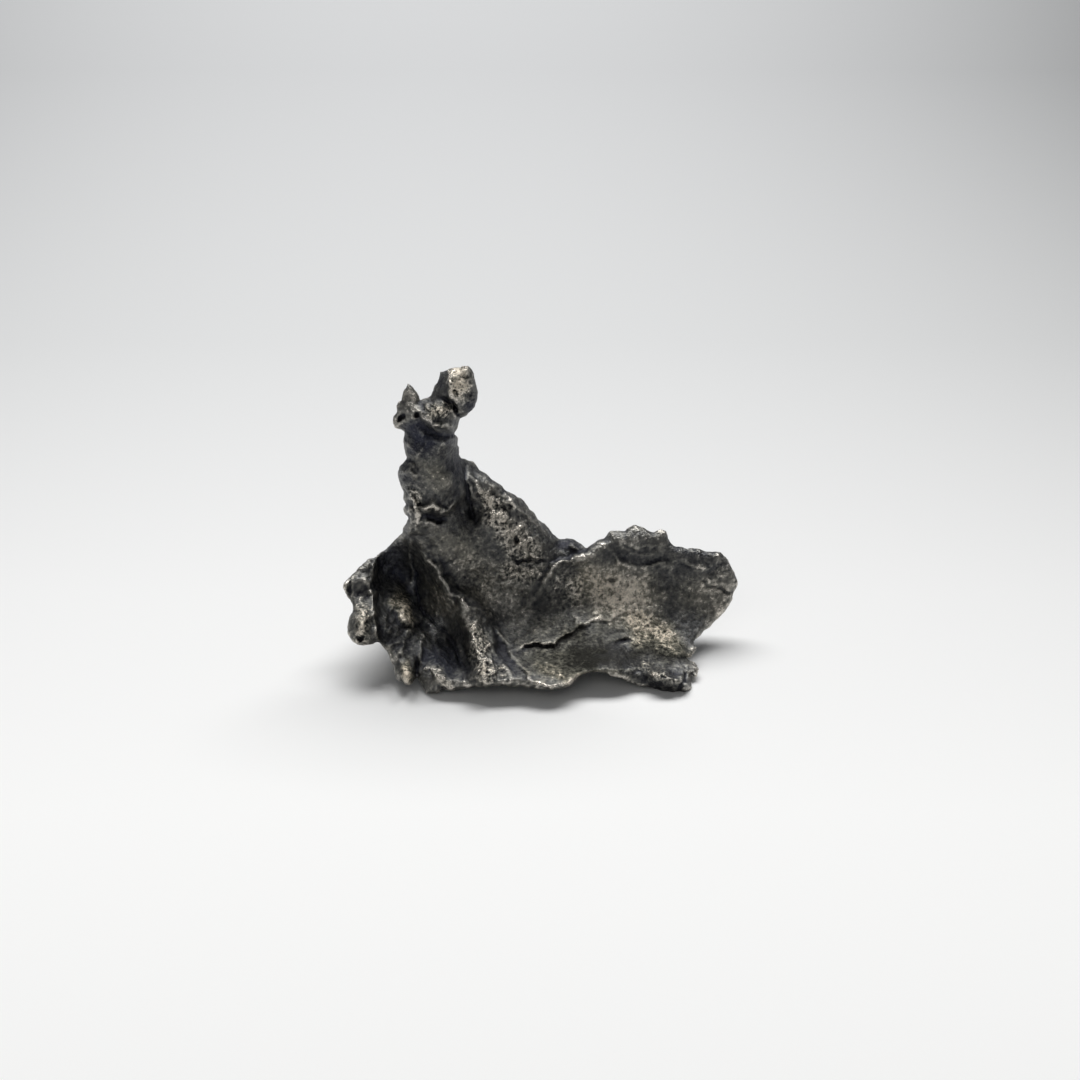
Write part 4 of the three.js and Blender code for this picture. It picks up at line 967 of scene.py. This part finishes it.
def iron_material():
    """Dark gunmetal iron: dull in the hollows, brighter and a little warm on what stands out. Its
    lightness carries wear with painted light and shade, and painted glints fleck it.
    """
    shader = Shader("meteoritic_iron")
    wear_and_painted_light, warmth, pitted = (shader.attribute(name) for name in ("wear_and_painted_light", "warmth", "pitted"))
    grit = shader.noise(size_mm=0.40, detail=3, roughness=0.75)
    holes = shader.math("MULTIPLY", shader.holes(size_mm=0.75, radius=0.34),
                        shader.math("MULTIPLY_ADD", pitted, 0.9, 0.15, clamp=True))
    speckle = shader.math("MULTIPLY", shader.math("SUBTRACT", grit, 0.5),
                          shader.math("MULTIPLY_ADD", pitted, 2.2, 0.6))
    cloud = shader.math("SUBTRACT", shader.noise(size_mm=2.4, detail=3), 0.5)
    drift = shader.math("MULTIPLY", cloud, 0.22)
    # painted glints: small bright specks lifted into the base colour where the metal is light
    painted_glints = shader.spread(shader.noise(size_mm=0.62, detail=2), 0.60, 0.74, last=0.75)
    level = shader.math("ADD", wear_and_painted_light, shader.math("MULTIPLY", painted_glints, wear_and_painted_light))
    level = shader.math("ADD", shader.math("ADD", level, speckle), drift)
    level = shader.math("SUBTRACT", level, shader.math("MULTIPLY", holes, 0.5), clamp=True)
    cold = shader.ramp(level, (0.0, (0.030, 0.033, 0.050)), (0.35, (0.096, 0.099, 0.112)),
                       (0.65, (0.198, 0.203, 0.210)), (1.0, (0.66, 0.66, 0.65)))
    warm = shader.ramp(level, (0.0, (0.027, 0.026, 0.022)), (0.35, (0.106, 0.103, 0.084)),
                       (0.65, (0.244, 0.226, 0.178)), (1.0, (0.82, 0.73, 0.60)))
    polish = shader.spread(level, 0.0, 1.0, first=0.48, last=0.24)
    crust = shader.spread(warmth, 0.7, 1.0, last=0.32)
    coarse = shader.bump(shader.noise(size_mm=0.9, detail=5), depth_mm=0.38)
    gritty = shader.math("MULTIPLY", grit, shader.math("MULTIPLY_ADD", pitted, 1.0, 0.8))
    fine = shader.bump(shader.math("SUBTRACT", gritty, holes), depth_mm=0.14, under=coarse)
    return shader.finish({
        "Base Color": shader.mix(warmth, cold, warm), "Metallic": 0.85,
        "Roughness": shader.math("ADD", polish, crust), "Normal": fine,
    })


def floor_material():
    """Pale board with painted light falloff: darker towards the back, and painted shade in its back
    corners.
    """
    shader = Shader("pale_board")
    apart = shader.node("ShaderNodeSeparateXYZ", {0: shader.place()})
    # painted falloff of light: the board's colour darkens from front to back
    back = shader.spread(apart.outputs["Y"], -0.125, 0.195)
    colour = shader.ramp(back, (0.0, (0.96, 0.96, 0.95)), (0.25, (0.925, 0.925, 0.915)),
                         (0.45, (0.83, 0.83, 0.825)), (0.70, (0.64, 0.645, 0.645)),
                         (1.0, (0.525, 0.53, 0.535)))
    # painted shade in the back corners, mixed towards black
    sideways = shader.math("MULTIPLY_ADD", apart.outputs["X"], 5.9, 0.118)
    corner = shader.math("MULTIPLY", shader.math("MULTIPLY", sideways, sideways),
                         shader.math("MULTIPLY", back, back), clamp=True)
    corner_shade_colour = (0.0, 0.0, 0.0, 1.0)
    return shader.finish({
        "Base Color": shader.mix(corner, colour, corner_shade_colour),
        "Roughness": 0.7, "Specular IOR Level": 0.2,
    })


def make_floor():
    """A square board, far wider than the picture; its size is in metres."""
    half = 1.2
    mesh = bpy.data.meshes.new("floor")
    corners = [(-half, -half, 0), (half, -half, 0), (half, half, 0), (-half, half, 0)]
    mesh.from_pydata(corners, [], [(0, 1, 2, 3)])
    mesh.materials.append(floor_material())
    add_object("floor", mesh)


def aim(item, place, target):
    """Puts a light or camera at a place and turns it to a target."""
    item.location = place
    item.rotation_euler = (Vector(target) - Vector(place)).to_track_quat("-Z", "Y").to_euler()


def add_light(name, place, width, depth, watts, colour=(1, 1, 1)):
    """An oval light that points at the piece's lower middle; lengths are in metres."""
    data = bpy.data.lights.new(name, "AREA")
    data.shape = "ELLIPSE"
    data.size = width
    data.size_y = depth
    data.energy = watts
    data.color = colour
    aim(add_object(name, data), place, (0, 0, 0.015))


def light_scene():
    """A soft studio: one wide light above and behind, a weak one in front and a dim pale room."""
    add_light("overhead", (0.0, 0.50, 0.81), width=1.30, depth=0.42, watts=11.8)
    add_light("front_fill", (-0.15, -0.60, 0.55), width=0.90, depth=0.45, watts=0.65,
              colour=(1.0, 0.98, 0.95))
    world = bpy.data.worlds.new("studio")
    world.use_nodes = True
    background = world.node_tree.nodes["Background"]
    background.inputs["Color"].default_value = (0.93, 0.96, 1.0, 1)
    background.inputs["Strength"].default_value = 0.11
    bpy.context.scene.world = world
    bpy.context.scene.view_settings.view_transform = "Standard"


def add_camera():
    """The photograph's view: from the front, looking down by the drawing plane's lean."""
    pixels = 1080               # side of the photograph
    pixels_per_mm = 6.6         # its scale in the drawing plane
    zero_row = 646              # its row where "up" is 0
    middle_out = 8              # how far out the piece's middle lies
    distance = 1400             # far enough for a nearly flat view
    width = pixels / pixels_per_mm
    middle_up = (zero_row - pixels / 2) / pixels_per_mm
    data = bpy.data.cameras.new("camera")
    data.sensor_width = 36
    data.lens = data.sensor_width * distance / width
    data.clip_end = 20
    camera = add_object("camera", data)
    target, place = to_upright(np.array([
        (0, middle_up, middle_out), (0, middle_up, middle_out + distance),
    ])) * METRES
    aim(camera, place, target)
    bpy.context.scene.camera = camera


piece = make_piece()
piece.data.materials.append(iron_material())
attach(piece, "root")
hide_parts("meteorite")

make_floor()
light_scene()
add_camera()
